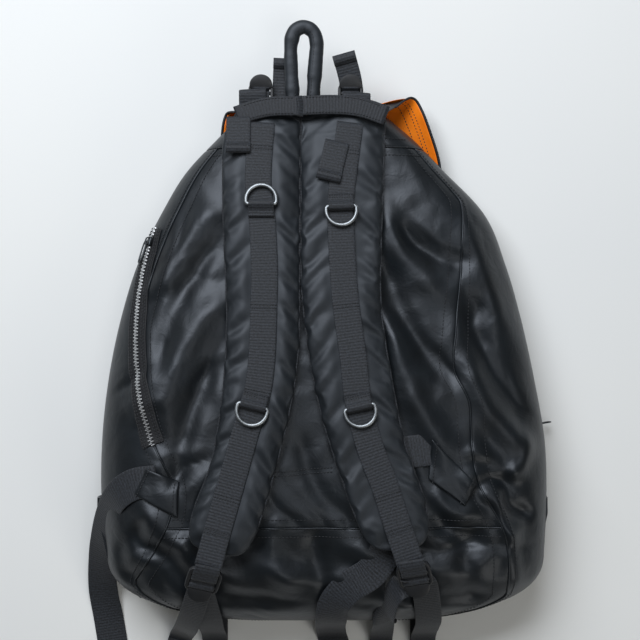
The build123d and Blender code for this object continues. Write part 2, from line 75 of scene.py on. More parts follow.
def studio():
    """Camera straight above, a large soft light beyond the handle, two weak ones, and pale walls."""
    scene = bpy.context.scene
    camera = bpy.data.objects.new("camera", bpy.data.cameras.new("camera"))
    camera.data.lens, camera.data.sensor_width = LENS, SENSOR
    camera.location = (CAMERA_X * MM, CAMERA_Y * MM, CAMERA_HIGH * MM)
    scene.collection.objects.link(camera)
    scene.camera = camera
    lights = [
        ("window", (-0.45, 1.15, 1.45), (1.6, 1.0), 44, "#F4F8FF"),
        ("ceiling", (0.5, -0.3, 1.9), (0.7, 0.7), 4, "#FFFFFF"),
        ("room", (1.1, -1.3, 0.9), (0.9, 0.7), 5, "#FFFBF4"),
    ]
    for name, place, size, power, tint in lights:
        lamp = bpy.data.objects.new(name, bpy.data.lights.new(name, "AREA"))
        lamp.data.shape = "RECTANGLE"
        lamp.data.size, lamp.data.size_y = size
        lamp.data.energy = power
        lamp.data.color = hex_colour(tint)[:3]
        lamp.location = place
        lamp.rotation_euler = (-Vector(place)).to_track_quat("-Z", "Y").to_euler()
        scene.collection.objects.link(lamp)
    world = bpy.data.worlds.new("pale_room")
    scene.world = world
    world.use_nodes = True
    background = world.node_tree.nodes["Background"]
    background.inputs["Color"].default_value = hex_colour("#EEEEEC")
    background.inputs["Strength"].default_value = 0.13
    scene.view_settings.view_transform = "Standard"


# ---------------------------------------------------------------- materials
TWILL_LINE = 0.9 * MM
YARN_FLECK = 1.7 * MM
# Share of the ribs in the webbing's colour: painted shade between ribs, painted light on their crests.
RIB_SHADE_SHARE = 0.08


def node(tree, kind, links=(), **settings):
    """Adds a node; settings name its properties or its input sockets; links are (socket, source socket)."""
    made = tree.nodes.new(kind)
    for name, value in settings.items():
        if hasattr(made, name):
            setattr(made, name, value)
        else:
            made.inputs[name.replace("_", " ")].default_value = value
    for socket, source in links:
        tree.links.new(made.inputs[socket], source)
    return made


def new_material(name, **shader):
    """A material with one Principled shader, whose uniform numbers sit on its own sockets."""
    material = bpy.data.materials.new(name)
    material.use_nodes = True
    tree = material.node_tree
    principled = tree.nodes["Principled BSDF"]
    for socket, value in shader.items():
        principled.inputs[socket.replace("_", " ")].default_value = value
    return material, tree, principled


def noise(tree, place, scale, **settings):
    """The height of a noise, in features per metre."""
    return node(tree, "ShaderNodeTexNoise", [("Vector", place)], Scale=scale, **settings).outputs["Fac"]


def bands(tree, place, direction, pitch_m, distortion):
    """Even bands a pitch apart; the wave texture repeats every 2 pi / (20 x scale)."""
    made = node(
        tree, "ShaderNodeTexWave", [("Vector", place)], bands_direction=direction,
        Scale=2 * math.pi / pitch_m / 20, Distortion=distortion, Detail=1.0,
    )
    return made.outputs["Fac"]


def tint(tree, principled, source, stops):
    """A base colour that follows the source, from (position, hex) stops."""
    made = node(tree, "ShaderNodeValToRGB", [("Fac", source)])
    for element, (position, code) in zip(made.color_ramp.elements, stops):
        element.position = position
        element.color = hex_colour(code)
    tree.links.new(principled.inputs["Base Color"], made.outputs["Color"])


def worn(tree, principled, source, low, high):
    """A roughness that follows the source between two values."""
    made = node(tree, "ShaderNodeMapRange", [("Value", source)], To_Min=low, To_Max=high)
    tree.links.new(principled.inputs["Roughness"], made.outputs["Result"])


def bumped(tree, principled, source, strength, depth_mm, under=None):
    """Bump from a height, depth in millimetres, on top of another bump if there is one."""
    links = [("Height", source)]
    if under:
        links.append(("Normal", under.outputs["Normal"]))
    bump = node(tree, "ShaderNodeBump", links, Strength=strength, Distance=depth_mm * MM)
    tree.links.new(principled.inputs["Normal"], bump.outputs["Normal"])
    return bump


def nylon_satin(name, deep, lit, roughness, crumple):
    """Nylon satin: long floats of bright yarn give a broad soft gloss over a near-black ground.

    A twill line every 0.9 mm, drawn coarser than the real one so that it shows, and a crumple with
    features of about 14 mm that breaks the gloss up.
    """
    material, tree, principled = new_material(
        name, Roughness=roughness, Specular_IOR_Level=0.52, Specular_Tint=hex_colour("#E0E6EE"),
        Sheen_Weight=0.03, Sheen_Roughness=0.4,
    )
    place = node(tree, "ShaderNodeTexCoord").outputs["Object"]
    cloud = noise(tree, place, 26.0, Detail=5.0, Roughness=0.6)
    tint(tree, principled, cloud, [(0.3, deep), (0.75, lit)])
    twill = bands(tree, place, "DIAGONAL", TWILL_LINE, 0.6)
    fine = bumped(tree, principled, twill, 0.35, 0.06)
    big = noise(tree, place, 70.0, Detail=4.0, Roughness=0.55, Distortion=0.6)
    bumped(tree, principled, big, crumple, 1.6, fine)
    return material


def webbing(name, deep, lit, rib_mm):
    """Nylon webbing: weft ribs across the strap, flecked yarn, painted shade between the ribs and painted
    light on their crests, a dull surface.

    The flecks are 1.7 mm and the ribs a little wider than life, so that they show.
    """
    material, tree, principled = new_material(
        name, Roughness=0.68, Specular_IOR_Level=0.4, Sheen_Weight=0.08, Sheen_Roughness=0.5
    )
    weave = node(tree, "ShaderNodeUVMap", uv_map="weave").outputs["UV"]
    ribs = bands(tree, weave, "Y", rib_mm * MM, 0.5)
    fleck = noise(tree, weave, 1 / YARN_FLECK, Detail=3.0, Roughness=0.8)
    # The colour is the flecks plus a share of the ribs: painted shade in the grooves between ribs, painted
    # light on the crests.
    fleck_and_rib_shade = node(tree, "ShaderNodeMath", [(0, ribs), (2, fleck)], operation="MULTIPLY_ADD")
    fleck_and_rib_shade.inputs[1].default_value = RIB_SHADE_SHARE
    tint(tree, principled, fleck_and_rib_shade.outputs["Value"], [(0.42, deep), (0.72, lit)])
    fine = bumped(tree, principled, fleck, 0.4, 0.25)
    bumped(tree, principled, ribs, 0.45, 0.3, fine)
    return material


def moulded_acetal():
    """Moulded acetal: black, slightly glossy, with the fine spark-eroded grain of its mould."""
    material, tree, principled = new_material(
        "acetal moulded black", Base_Color=hex_colour("#15171A"), Roughness=0.42, Specular_IOR_Level=0.5
    )
    place = node(tree, "ShaderNodeTexCoord").outputs["Object"]
    grain = noise(tree, place, 900.0, Detail=2.0)
    worn(tree, principled, noise(tree, place, 140.0, Detail=4.0), 0.32, 0.56)
    bumped(tree, principled, grain, 0.3, 0.08)
    return material


def plated_metal(name, dull, bright, roughness, scratch):
    """Nickel plating over wire or stamped teeth: bright, rubbed duller where it has been handled."""
    material, tree, principled = new_material(name, Metallic=1.0, Roughness=roughness)
    place = node(tree, "ShaderNodeTexCoord").outputs["Object"]
    cloud = noise(tree, place, 220.0, Detail=5.0, Roughness=0.65)
    tint(tree, principled, cloud, [(0.3, dull), (0.7, bright)])
    worn(tree, principled, cloud, roughness - 0.08, roughness + 0.14)
    bumped(tree, principled, cloud, scratch, 0.05)
    return material


def sewing_thread():
    """Bonded polyester thread: twisted, dull, a little lighter than the cloth it sits on."""
    material, tree, principled = new_material(
        "thread polyester", Base_Color=hex_colour("#1B1E22"), Roughness=0.6
    )
    place = node(tree, "ShaderNodeTexCoord").outputs["Object"]
    bumped(tree, principled, noise(tree, place, 1500.0, Detail=1.0), 0.4, 0.1)
    return material


def pale_board():
    """Painted board: pale and faintly cloudy."""
    material, tree, principled = new_material("board painted pale", Roughness=0.75, Specular_IOR_Level=0.25)
    place = node(tree, "ShaderNodeTexCoord").outputs["Object"]
    tint(tree, principled, noise(tree, place, 1.4, Detail=3.0), [(0.3, "#DCDEDD"), (0.7, "#E2E3E0")])
    return material


NYLON = nylon_satin("nylon satin black", "#080B0D", "#11161A", 0.43, 0.34)
PAD_NYLON = nylon_satin("nylon satin black, padded", "#0F1316", "#1B1F23", 0.52, 0.12)
LINING = nylon_satin("nylon lining orange", "#E8720C", "#F98A1C", 0.42, 0.35)
WEBBING = webbing("nylon webbing black", "#07090C", "#2C3138", 2.8)
BAND = webbing("nylon grosgrain black", "#090B0F", "#252A31", 3.0)
TAPE_CLOTH = webbing("zip tape black", "#07080A", "#17191D", 1.6)
ACETAL = moulded_acetal()
NICKEL = plated_metal("nickel satin", "#7B8083", "#A4A9AC", 0.42, 0.3)
TEETH_METAL = plated_metal("nickel bright", "#D6D9DB", "#F1F2F3", 0.45, 0.15)
SLIDER_METAL = plated_metal("nickel dark", "#2B2E30", "#4A4E51", 0.4, 0.2)
THREAD = sewing_thread()
BOARD = pale_board()

# ---------------------------------------------------------------- mesh helpers
UP = np.array([0, 0, 1.0])


def make_mesh(name, points, faces, material, weave=None):
    """An object from millimetre points and a list of faces; weave is one (across, along) pair per point."""
    mesh = bpy.data.meshes.new(name)
    mesh.from_pydata((np.asarray(points, float) * MM).tolist(), [], faces)
    mesh.update()
    if weave is not None:
        layer = mesh.uv_layers.new(name="weave")
        corner = np.zeros(len(mesh.loops), np.int32)
        mesh.loops.foreach_get("vertex_index", corner)
        layer.data.foreach_set("uv", (np.asarray(weave, float) * MM)[corner].ravel())
    mesh.shade_smooth()
    mesh.materials.append(material)
    made = bpy.data.objects.new(name, mesh)
    bpy.context.scene.collection.objects.link(made)
    return made


def grid_faces(rows, columns, wrap=False):
    """Quads of a rows x columns grid of points, row by row; wrap joins the last column to the first."""
    i, j = np.meshgrid(np.arange(rows - 1), np.arange(columns if wrap else columns - 1), indexing="ij")
    k = (j + 1) % columns
    quads = np.stack([i * columns + j, i * columns + k, (i + 1) * columns + k, (i + 1) * columns + j], -1)
    return quads.reshape(-1, 4).tolist()


def unit(v):
    """Vectors divided by their lengths."""
    return v / np.maximum(np.linalg.norm(v, axis=-1, keepdims=True), 1e-9)


def grid_mesh(name, grid, material, weave=None):
    """A mesh through a grid of points."""
    return make_mesh(name, grid.reshape(-1, 3), grid_faces(*grid.shape[:2]), material, weave)


def square_to(run, side):
    """The side direction made square to the run, as unit vectors."""
    return unit(side - run * np.sum(side * run, -1, keepdims=True))


def smoothed(values, reach):
    """The moving average of a row of numbers or points, over reach neighbours on both sides."""
    share = np.ones(2 * reach + 1) / (2 * reach + 1)
    columns = np.reshape(values, (len(values), -1)).T
    rows = [np.convolve(np.pad(column, reach, "edge"), share, "valid") for column in columns]
    return np.reshape(np.stack(rows, -1), np.shape(values))


def runs(path, closed=False):
    """Unit directions along a path, and the length so far at each point."""
    if closed:
        ahead = np.roll(path, -1, 0) - np.roll(path, 1, 0)
    else:
        ahead = np.gradient(path, axis=0)
    steps = np.linalg.norm(np.diff(path, axis=0), axis=1)
    return unit(ahead), np.concatenate([[0], np.cumsum(steps)])


def even(path, step):
    """The path again, as points about one step apart along its length."""
    length = runs(path)[1]
    count = max(int(length[-1] / step), 2) + 1
    at = np.linspace(0, length[-1], count)
    return np.stack([np.interp(at, length, path[:, k]) for k in range(3)], -1)


def smooth_path(points, step=4.0):
    """A Catmull-Rom curve through the points, resampled to even steps."""
    p = np.asarray(points, float)
    p = np.vstack([2 * p[0] - p[1], p, 2 * p[-1] - p[-2]])
    t = np.linspace(0, 1, 16, endpoint=False)[:, None]
    spans = []
    for a, b, c, d in zip(p, p[1:], p[2:], p[3:]):
        bend, twist = 2 * a - 5 * b + 4 * c - d, 3 * b - a - 3 * c + d
        spans.append(0.5 * (2 * b + (c - a) * t + bend * t**2 + twist * t**3))
    return even(np.vstack([*spans, p[-2:-1]]), step)


def carried(name, path, side, profile, material, closed=False, swell=None):
    """A closed profile carried along a path.

    profile is (across, up) pairs: across goes along side, which is one direction or one per point, and
    up is square to the side and the run. Both ends are capped.
    """
    run, length = runs(path, closed)
    side = square_to(run, side)
    up = np.cross(side, run)
    shape = np.broadcast_to(profile, (len(path), *np.shape(profile)[-2:]))
    if swell is not None:
        shape = shape * np.asarray(swell)[:, None, None]
    points = path[:, None] + shape[..., :1] * side[:, None] + shape[..., 1:] * up[:, None]
    around = np.concatenate([[0], np.cumsum(np.linalg.norm(np.diff(shape[0], axis=0), axis=1))])
    weave = np.stack(np.broadcast_arrays(around[None, :], length[:, None]), -1).reshape(-1, 2)
    rows, columns = points.shape[:2]
    faces = grid_faces(rows, columns, wrap=True)
    if closed:
        last = (rows - 1) * columns
        faces += [[last + j, last + (j + 1) % columns, (j + 1) % columns, j] for j in range(columns)]
    else:
        faces += [list(range(columns))[::-1], [(rows - 1) * columns + j for j in range(columns)]]
    made = make_mesh(name, points.reshape(-1, 3), faces, material, weave)
    outward(made)
    return made


def outward(made):
    """Turns the faces of a closed mesh outwards: its signed volume has to be positive."""
    mesh = made.data
    mesh.calc_loop_triangles()
    at = np.zeros(len(mesh.vertices) * 3, np.float32)
    mesh.vertices.foreach_get("co", at)
    corner = np.zeros(len(mesh.loop_triangles) * 3, np.int32)
    mesh.loop_triangles.foreach_get("vertices", corner)
    a, b, c = at.reshape(-1, 3)[corner.reshape(-1, 3)].transpose(1, 0, 2)
    if np.sum(np.cross(a, b) * c) < 0:
        mesh.flip_normals()


def turning(directions, count):
    """Unit directions for count points, going evenly through the ones given."""
    given = np.array(directions, float)
    share = np.linspace(0, len(given) - 1, count)
    return unit(np.stack([np.interp(share, np.arange(len(given)), given[:, k]) for k in range(3)], -1))


def strap_profile(width, thick, columns=28):
    """Webbing section: |x/w|^8 + |y/t|^2.6 = 1, flat with soft selvedges."""
    a = np.linspace(0, 2 * math.pi, columns, endpoint=False) + math.pi / columns
    x = np.sign(np.cos(a)) * np.abs(np.cos(a)) ** (2 / 8) * width / 2
    y = np.sign(np.sin(a)) * np.abs(np.sin(a)) ** (2 / 2.6) * thick / 2
    return np.stack([x, y], -1)


def round_profile(radius, columns=12):
    """A circle of the radius as (across, up) pairs."""
    a = np.linspace(0, 2 * math.pi, columns, endpoint=False)
    return np.stack([np.cos(a), np.sin(a)], -1) * radius


def copies(name, shape, faces, places, material):
    """One small shape repeated: places are (origin, x, y, z) rows of shape (n, 4, 3)."""
    places = np.asarray(places, float)
    points = places[:, None, 0] + np.einsum("pk,nkd->npd", shape, places[:, 1:])
    offsets = (np.arange(len(places)) * len(shape))[:, None]
    quads = [(np.array(f)[None, :] + offsets).tolist() for f in faces]
    return make_mesh(name, points.reshape(-1, 3), [f for row in quads for f in row], material)


def stitch_shape(long, radius):
    """A capsule of thread, flattened at its ends where it dives into the cloth."""
    a = np.linspace(0, 2 * math.pi, 6, endpoint=False)
    ring = np.stack([np.zeros(6), np.cos(a), np.sin(a)], -1)
    rows = [(-0.5, 0.35, -0.5), (-0.3, 1.0, 0), (0.3, 1.0, 0), (0.5, 0.35, -0.5)]
    points = np.concatenate([ring * radius * r + [s * long, 0, drop * radius] for s, r, drop in rows])
    faces = grid_faces(4, 6, wrap=True) + [[5, 4, 3, 2, 1, 0], [18, 19, 20, 21, 22, 23]]
    return points, faces


def stitches(name, path, up, body, pitch=3.4, radius=0.38):
    """A row of stitches along a path; up is the direction out of the cloth."""
    path = even(np.asarray(path, float), pitch)
    run, _ = runs(path)
    if np.ndim(up) == 2:
        up = up[np.linspace(0, len(up) - 1, len(path)).astype(int)]
    side = unit(np.cross(up, run))
    up = np.cross(run, side)
    shape, faces = stitch_shape(pitch * 0.72, radius)
    made = copies(name, shape, faces, np.stack([path, run, side, up], 1), THREAD)
    return keep(made, body)


def keep(made, body, *replaced):
    """Hands a finished piece to its body and hides the CAD nodes that it stands for."""
    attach(made, body)
    if replaced:
        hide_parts(*replaced)
    return made


def strap(name, path, side, width, thick, body, *replaced, material=WEBBING, columns=28):
    """Flat webbing along a path."""
    made = carried(name, path, side, strap_profile(width, thick, columns), material)
    return keep(made, body, *replaced)


def piping(name, path, side, radius, body, material=BAND):
    """Round piping along a path."""
    return keep(carried(name, path, side, round_profile(radius, 10), material), body)


def crosswise(centre, across, half):
    """The two ends of a short line across a strap."""
    return np.array([centre - across * half, centre + across * half])


def cut_sheet(grid, held):
    """Measures a sheet's longest row and longest column; nothing is kept or returned."""
    step_a, step_b = np.diff(grid, axis=0)[:, :-1], np.diff(grid, axis=1)[:-1]
    long = np.linalg.norm(np.diff(grid, axis=0), axis=-1).sum(0).max()
    wide = np.linalg.norm(np.diff(grid, axis=1), axis=-1).sum(1).max()


def finer(made, levels=1, thick=None):
    """Optional wall thickness inwards, then subdivision."""
    if thick:
        solid = made.modifiers.new("thickness", "SOLIDIFY")
        solid.thickness, solid.offset = thick * MM, -1.0
    if levels:
        rounder = made.modifiers.new("rounder", "SUBSURF")
        rounder.levels = rounder.render_levels = levels
    return made


def waves(x, y, length, seed, count=9):
    """Smooth random field: the mean of a few sine waves of one wavelength in random directions."""
    draw = np.random.default_rng(seed)
    turn, phase = draw.uniform(0, 2 * math.pi, (2, count))
    stretch = draw.uniform(0.7, 1.4, count)
    k = 2 * math.pi / length
    total = sum(np.sin(k * s * (x * np.cos(t) + y * np.sin(t)) + p) for t, p, s in zip(turn, phase, stretch))
    return total / math.sqrt(count)


def through(knots, values):
    """A smooth function through the knots: cubic Hermite, with each slope the mean of its neighbours'."""
    knots, values = np.asarray(knots, float), np.asarray(values, float)
    slopes = np.gradient(values, knots)

    def at(x):
        x = np.clip(x, knots[0], knots[-1])
        i = np.clip(np.searchsorted(knots, x) - 1, 0, len(knots) - 2)
        wide = knots[i + 1] - knots[i]
        t = (x - knots[i]) / wide
        a, b, c = 2 * t**3 - 3 * t**2 + 1, t**3 - 2 * t**2 + t, t**3 - t**2
        ends = a * values[i] + (1 - a) * values[i + 1]
        return ends + wide * (b * slopes[i] + c * slopes[i + 1])

    return at


# ---------------------------------------------------------------- the bag's body
SLOPE, HARNESS_Z = 0.1355, 92.0
PAD_EDGES = {
    "left": (
        [
            (-74, 240), (-82, 226), (-88, 206), (-87, 130), (-83, 50), (-85, -20), (-95, -92),
            (-110, -134), (-121, -172),
        ],
        [(-14.8, 240), (-14.8, 97), (-14.8, 55), (-15.5, 10), (-24, -50), (-44, -128), (-63, -186)],
    ),
    "right": (
        [(67, 240), (62, 93), (62, 50), (68, 2), (83, -78), (101, -130), (106, -174)],
        [(-13.2, 240), (-13.2, 97), (-12, 60), (-6, 9), (5, -48), (26, -115), (50, -178)],
    ),
}
WEB_LINES = {
    "left": [
        (-51, 226), (-54, 171), (-49.8, 130), (-47.6, 85), (-48, 49), (-49.4, 2.5), (-53.4, -31),
        (-62.9, -64), (-80.2, -127), (-89.5, -160), (-97.5, -191),
    ],
    "right": [
        (33.3, 226), (24.5, 154), (24.4, 122), (26.2, 85), (29, 49), (35.3, 2.5), (40, -40), (50.7, -82),
        (64.3, -118), (75, -152), (87, -188),
    ],
}
MOUTH_Y, CORNER_Y, END_Y = 241.0, -188.0, -258.0
COLLAR_Y, BASE_Y = 205.0, -152.0
BODY_KEYS = [-188, -137, -83, -20, 41, 91, 145, 186, 217, 241]
LEFT_EDGE = through(BODY_KEYS, [-204, -209, -209, -203, -191, -176, -151, -126, -97, -73])
RIGHT_EDGE = through(BODY_KEYS, [224, 226, 225, 215, 202, 188, 165, 126, 96, 67])
TOP_LINE = through([-188, -150, -80, 0, 80, 150, 205, 241], [101, 106, 100, 89.5, 78.5, 69, 61, 55.5])
LEFT_SEAM = through(
    [-258, -220, -174, -150, -116, -81, 28, 114, 160, 241],
    [-190, -177, -148, -136, -133, -150, -169, -159, -138, -72],
)
RIGHT_SEAM = through(
    [-258, -233, -150, -122, -87, -64, -38, -10, 28, 104, 164, 241],
    [184, 183, 172, 156, 147, 146, 144, 131, 133, 140, 137, 66],
)
SIDE_COLUMNS, MIDDLE_COLUMNS = 30, 72
CENTRE = 10.0
FLOOR_GAP = 5.0
SHOULDER = 0.40  # share of the half width over which a side falls away


def harness_z(y):
    """Height of the sloping plane that the pads lie on."""
    return HARNESS_Z - SLOPE * y


def edges_at(y):
    """Left edge, right edge and top height; past the corners the outline closes as |t|^2.5 + |k|^2.5 = 1."""
    t = np.clip((CORNER_Y - y) / (CORNER_Y - END_Y), 0, 1)
    close = (1 - t**2.5) ** 0.4
    left, right = LEFT_EDGE(y), RIGHT_EDGE(y)
    top = TOP_LINE(y)
    top = 24 + (top - 24) * (1 - t**2.1) ** 0.5
    return CENTRE + (left - CENTRE) * close, CENTRE + (right - CENTRE) * close, top


def dome(x, y):
    """Height of the bag's upper skin: flat in the middle, elliptic shoulders down to the widest line."""
    left, right, top = edges_at(y)
    rim = FLOOR_GAP + 0.34 * (top - FLOOR_GAP)
    half = np.where(x < CENTRE, CENTRE - left, right - CENTRE)
    u = np.abs(x - CENTRE) / np.maximum(half, 1e-6)
    out = np.clip((u - (1 - SHOULDER)) / SHOULDER, 0, 1)
    return rim + (top - rim) * np.sqrt(1 - out**2)


# The largest drape folds: (x, y) at both ends, half width, height; a negative height is a valley.
FOLDS = [
    (-92, 150, -150, 60, 13, 5), (-90, 118, -150, -10, 10, -7), (-88, 60, -150, -60, 14, 7),
    (-92, 0, -130, -120, 10, -7), (-122, 60, -165, -60, 13, 5), (-150, 120, -178, 40, 12, -4),
    (66, 150, 120, 60, 12, 5), (64, 100, 124, -20, 10, -7), (68, 40, 128, -90, 13, 8),
    (80, 130, 150, 90, 12, -5), (150, 150, 200, 10, 15, 6), (146, 60, 205, -70, 12, -6),
    (140, 0, 214, -90, 14, 7), (160, -60, 205, -160, 11, -5), (-20, -30, -55, -140, 9, 4),
    (-15, -70, 30, -150, 9, -4), (-170, -130, -60, -215, 13, 7), (-150, -178, -40, -232, 10, -6),
    (20, -170, 160, -196, 12, 7), (40, -205, 170, -222, 9, -6), (-70, -185, 60, -205, 11, 5),
    (174, -111, 140, -84, 7, 5), (174, -111, 148, -132, 6, -6), (176, -113, 188, -170, 6, 6),
    (174, -111, 206, -148, 7, -6), (178, -109, 204, -70, 8, 6), (110, -120, 150, -142, 8, 5),
    (112, -145, 160, -165, 8, -6), (60, -195, 95, -240, 9, 6), (150, -150, 150, -230, 12, -6),
    (190, -150, 196, -220, 9, 6), (-40, -150, -20, -215, 10, 5), (0, -155, 20, -225, 10, -6),
    (-165, -150, -150, -180, 8, -7), (-120, -160, -100, -205, 9, 6), (-185, -170, -165, -215, 9, -6),
]


def fold_height(x, y):
    """Sum of the folds: a Gaussian across each line, easing to nothing at its ends."""
    total = np.zeros_like(x)
    for x0, y0, x1, y1, wide, high in FOLDS:
        dx, dy = x1 - x0, y1 - y0
        long = math.hypot(dx, dy)
        along = ((x - x0) * dx + (y - y0) * dy) / long**2
        bend = 9 * np.sin(np.clip(along, 0, 1) * math.pi)
        across = ((x - x0) * dy - (y - y0) * dx) / long - bend
        fade = np.clip(np.minimum(along, 1 - along) / 0.28 + 0.35, 0, 1)
        total += high * fade**2 * (3 - 2 * fade) * np.exp(-((across / wide) ** 2))
    return total


def tucks(x, y, lean, wave, seed):
    """Cloth tucks: |sin| crests with sharp valleys between, running down the lean, bent by slow noise."""
    turn = math.radians(lean)
    wander = 15 * waves(x, y, 120, seed) + 3.5 * waves(x, y, 45, seed + 1)
    across = x * math.cos(turn) + y * math.sin(turn) + wander
    deep = np.clip(0.5 + 0.75 * waves(x, y, 95, seed + 2), 0.05, 1.3)
    fine = 0.22 * (np.abs(np.sin(math.pi * across / wave * 2.7 + waves(x, y, 60, seed + 3))) ** 0.8 - 0.6)
    return deep * (np.abs(np.sin(math.pi * across / wave)) ** 0.75 - 0.62 + fine)


def ease(value, low, high):
    """0 below low, 1 above high and 3t^2 - 2t^3 between."""
    t = np.clip((value - low) / (high - low), 0, 1)
    return t * t * (3 - 2 * t)


def drape(x, y):
    """Tucks fanning out from the pads on both sides, upright ones between, level ones over the base."""
    left, right, base = ease(-x, 55, 95), ease(x, 40, 80), ease(-y, 145, 175)
    side = left * tucks(x, y, 145, 44, 21) * 4.2 + right * tucks(x, y, 32, 48, 31) * 4.2
    middle = (1 - left) * (1 - right) * tucks(x, y, 8, 30, 41) * 2.4
    return (side + middle) * (1 - base) + tucks(x, y, 80, 36, 51) * 4.8 * base


def top_grid():
    """Rows from the mouth to the base, columns from the left rim over both seams to the right rim."""
    end = np.sin(np.linspace(0, math.pi / 2, 22)[1:])
    y = np.concatenate([np.linspace(MOUTH_Y, CORNER_Y, 108), CORNER_Y + (END_Y - CORNER_Y) * end])
    left, right, _ = edges_at(y)
    seam_l = np.maximum(LEFT_SEAM(y), left + (CENTRE - left) * 0.12)
    seam_r = np.minimum(RIGHT_SEAM(y), right - (right - CENTRE) * 0.12)
    curl = np.linspace(0, 1, SIDE_COLUMNS + 1) ** 1.7
    middle = np.linspace(0, 1, MIDDLE_COLUMNS + 1)
    columns = [
        left[:, None] + (seam_l - left)[:, None] * curl,
        seam_l[:, None] + (seam_r - seam_l)[:, None] * middle[1:],
        seam_r[:, None] + (right - seam_r)[:, None] * (1 - curl[::-1])[1:],
    ]
    x = np.concatenate(columns, 1)
    y = np.broadcast_to(y[:, None], x.shape)
    return np.stack([x, y, dome(x, y)], -1)


def relax(points, faces, held, frames, name, grow=0.0, pressure=0.0, cap=12.0, bend=0.6):
    """Cloth run on a copy of the piece, with no gravity: held is 0 to 1 per point; none moves past cap.

    grow is how much longer the cloth is cut than the shape it starts from.
    """
    made = make_mesh(name, points.reshape(-1, 3), faces, NYLON)
    group = made.vertex_groups.new(name="held")
    levels = np.round(np.asarray(held, float).ravel(), 2)
    for level in np.unique(levels):
        if level > 0:
            group.add(np.flatnonzero(levels == level).tolist(), float(level), "REPLACE")
    cloth = made.modifiers.new("cloth", "CLOTH")
    settings = cloth.settings
    settings.quality = 6
    settings.mass = 0.12
    settings.tension_stiffness = settings.compression_stiffness = 12
    settings.shear_stiffness = 4
    settings.bending_stiffness = bend
    settings.air_damping = 1.5
    settings.shrink_min = -grow
    settings.vertex_group_mass = "held"
    settings.pin_stiffness = 0.4
    settings.effector_weights.gravity = 0.0
    if pressure:
        settings.use_pressure = True
        settings.uniform_pressure_force = pressure
    cloth.collision_settings.use_collision = False
    cloth.point_cache.frame_start, cloth.point_cache.frame_end = 1, frames
    scene = bpy.context.scene
    for step in range(1, frames + 1):
        scene.frame_set(step)
    view = made.evaluated_get(bpy.context.evaluated_depsgraph_get())
    settled = np.array([v.co[:] for v in view.data.vertices]) / MM
    scene.frame_set(1)
    bpy.data.objects.remove(made)
    before = points.reshape(-1, 3)
    move = settled - before
    far = np.linalg.norm(move, axis=1, keepdims=True)
    move *= np.minimum(1, cap / np.maximum(far, 1e-6))
    return (before + move).reshape(points.shape)


def body_skin():
    """The upper skin: dome, folds and tucks, then a cloth run."""
    skin = top_grid()
    x, y = skin[..., 0], skin[..., 1]
    left, right, _ = edges_at(y)
    inside = np.clip(np.minimum(x - left, right - x) / 30, 0, 1) * np.clip((MOUTH_Y - y) / 25, 0, 1)
    end = np.clip((y - END_Y) / 25, 0, 1)
    rise = fold_height(x, y) + drape(x, y) + 0.3 * waves(x, y, 24, 5)
    skin[..., 2] += rise * inside * end
    held = np.zeros(x.shape)
    held[0] = held[-1] = 1
    held[:, 0] = held[:, -1] = 1
    held[:, SIDE_COLUMNS] = held[:, SIDE_COLUMNS + MIDDLE_COLUMNS] = 0.9
    skin = relax(skin, grid_faces(*x.shape), held, 16, "skin_cloth", grow=0.05, cap=9.0)
    # The pads press the skin down below the harness plane; away from their edges it may rise again.
    x, y = skin[..., 0], skin[..., 1]
    edge = {side: [through(*np.array(row[::-1]).T[::-1])(y) for row in PAD_EDGES[side]] for side in PAD_EDGES}
    outside = np.maximum(edge["left"][0] - x, x - edge["right"][0])
    between = np.minimum(x - edge["left"][1], edge["right"][1] - x)
    below = -186 - y
    free = np.maximum(np.maximum(outside, between), np.maximum(below, 0))
    skin[..., 2] = np.minimum(skin[..., 2], harness_z(y) - 1.0 + 0.8 * np.maximum(free, 0))
    return skin


def under_skin(skin):
    """The side that the bag lies on: from one rim down to a flat floor and up to the other rim."""
    a, b = skin[:, :1], skin[:, -1:]
    t = np.linspace(-1, 1, 61)[None, :, None]
    points = a + (b - a) * (t + 1) / 2
    points[..., 2] = FLOOR_GAP + (points[..., 2] - FLOOR_GAP) * (1 - (1 - np.abs(t[..., 0]) ** 7) ** 0.5)
    return points


SKIN = body_skin()
UNDER = under_skin(SKIN)
SKIN_FACES, UNDER_FACES = grid_faces(*SKIN.shape[:2]), grid_faces(*UNDER.shape[:2])
ALL_FACES = SKIN_FACES + (np.array(UNDER_FACES) + SKIN[..., 0].size).tolist()
TREE = BVHTree.FromPolygons([*SKIN.reshape(-1, 3).tolist(), *UNDER.reshape(-1, 3).tolist()], ALL_FACES)


def conform(points, up, lift):
    """Slides each point along its own up direction on to the bag, then out by lift."""
    placed = []
    for point, out in zip(points.reshape(-1, 3), np.broadcast_to(up, points.shape).reshape(-1, 3)):
        hit = TREE.ray_cast(Vector(point + out * 30), Vector(-out), 70.0)[0]
        placed.append((np.array(hit) if hit else point) + out * lift)
    return np.array(placed).reshape(points.shape)


def on_skin(path, lift=0.0):
    """Drops (x, y) points on to the skin, raised by lift; off the skin they keep to the dome."""
    placed = []
    for x, y in np.asarray(path, float)[:, :2]:
        hit = TREE.ray_cast(Vector((x, y, 400.0)), Vector((0, 0, -1)))[0]
        placed.append((x, y, (hit.z if hit else float(dome(np.array(x), np.array(y)))) + lift))
    return np.array(placed)


def skin_normals():
    """Unit normals of the skin's grid, from its row and column directions."""
    n = np.cross(np.gradient(SKIN, axis=1), np.gradient(SKIN, axis=0))
    n = unit(n)
    return np.where(n[..., 2:] < 0, -n, n)


NORMALS = skin_normals()


def shell_panel(name, rows, columns, *replaced):
    """One sewn panel: a block of the skin's grid with a wall and one subdivision."""
    block = SKIN[rows, columns]
    made = grid_mesh(name, block, NYLON, block[..., :2].reshape(-1, 2))
    made.data.flip_normals()
    finer(made, 1, 1.2)
    keep(made, "bag", *replaced)
    cut_sheet(block, "stretched")


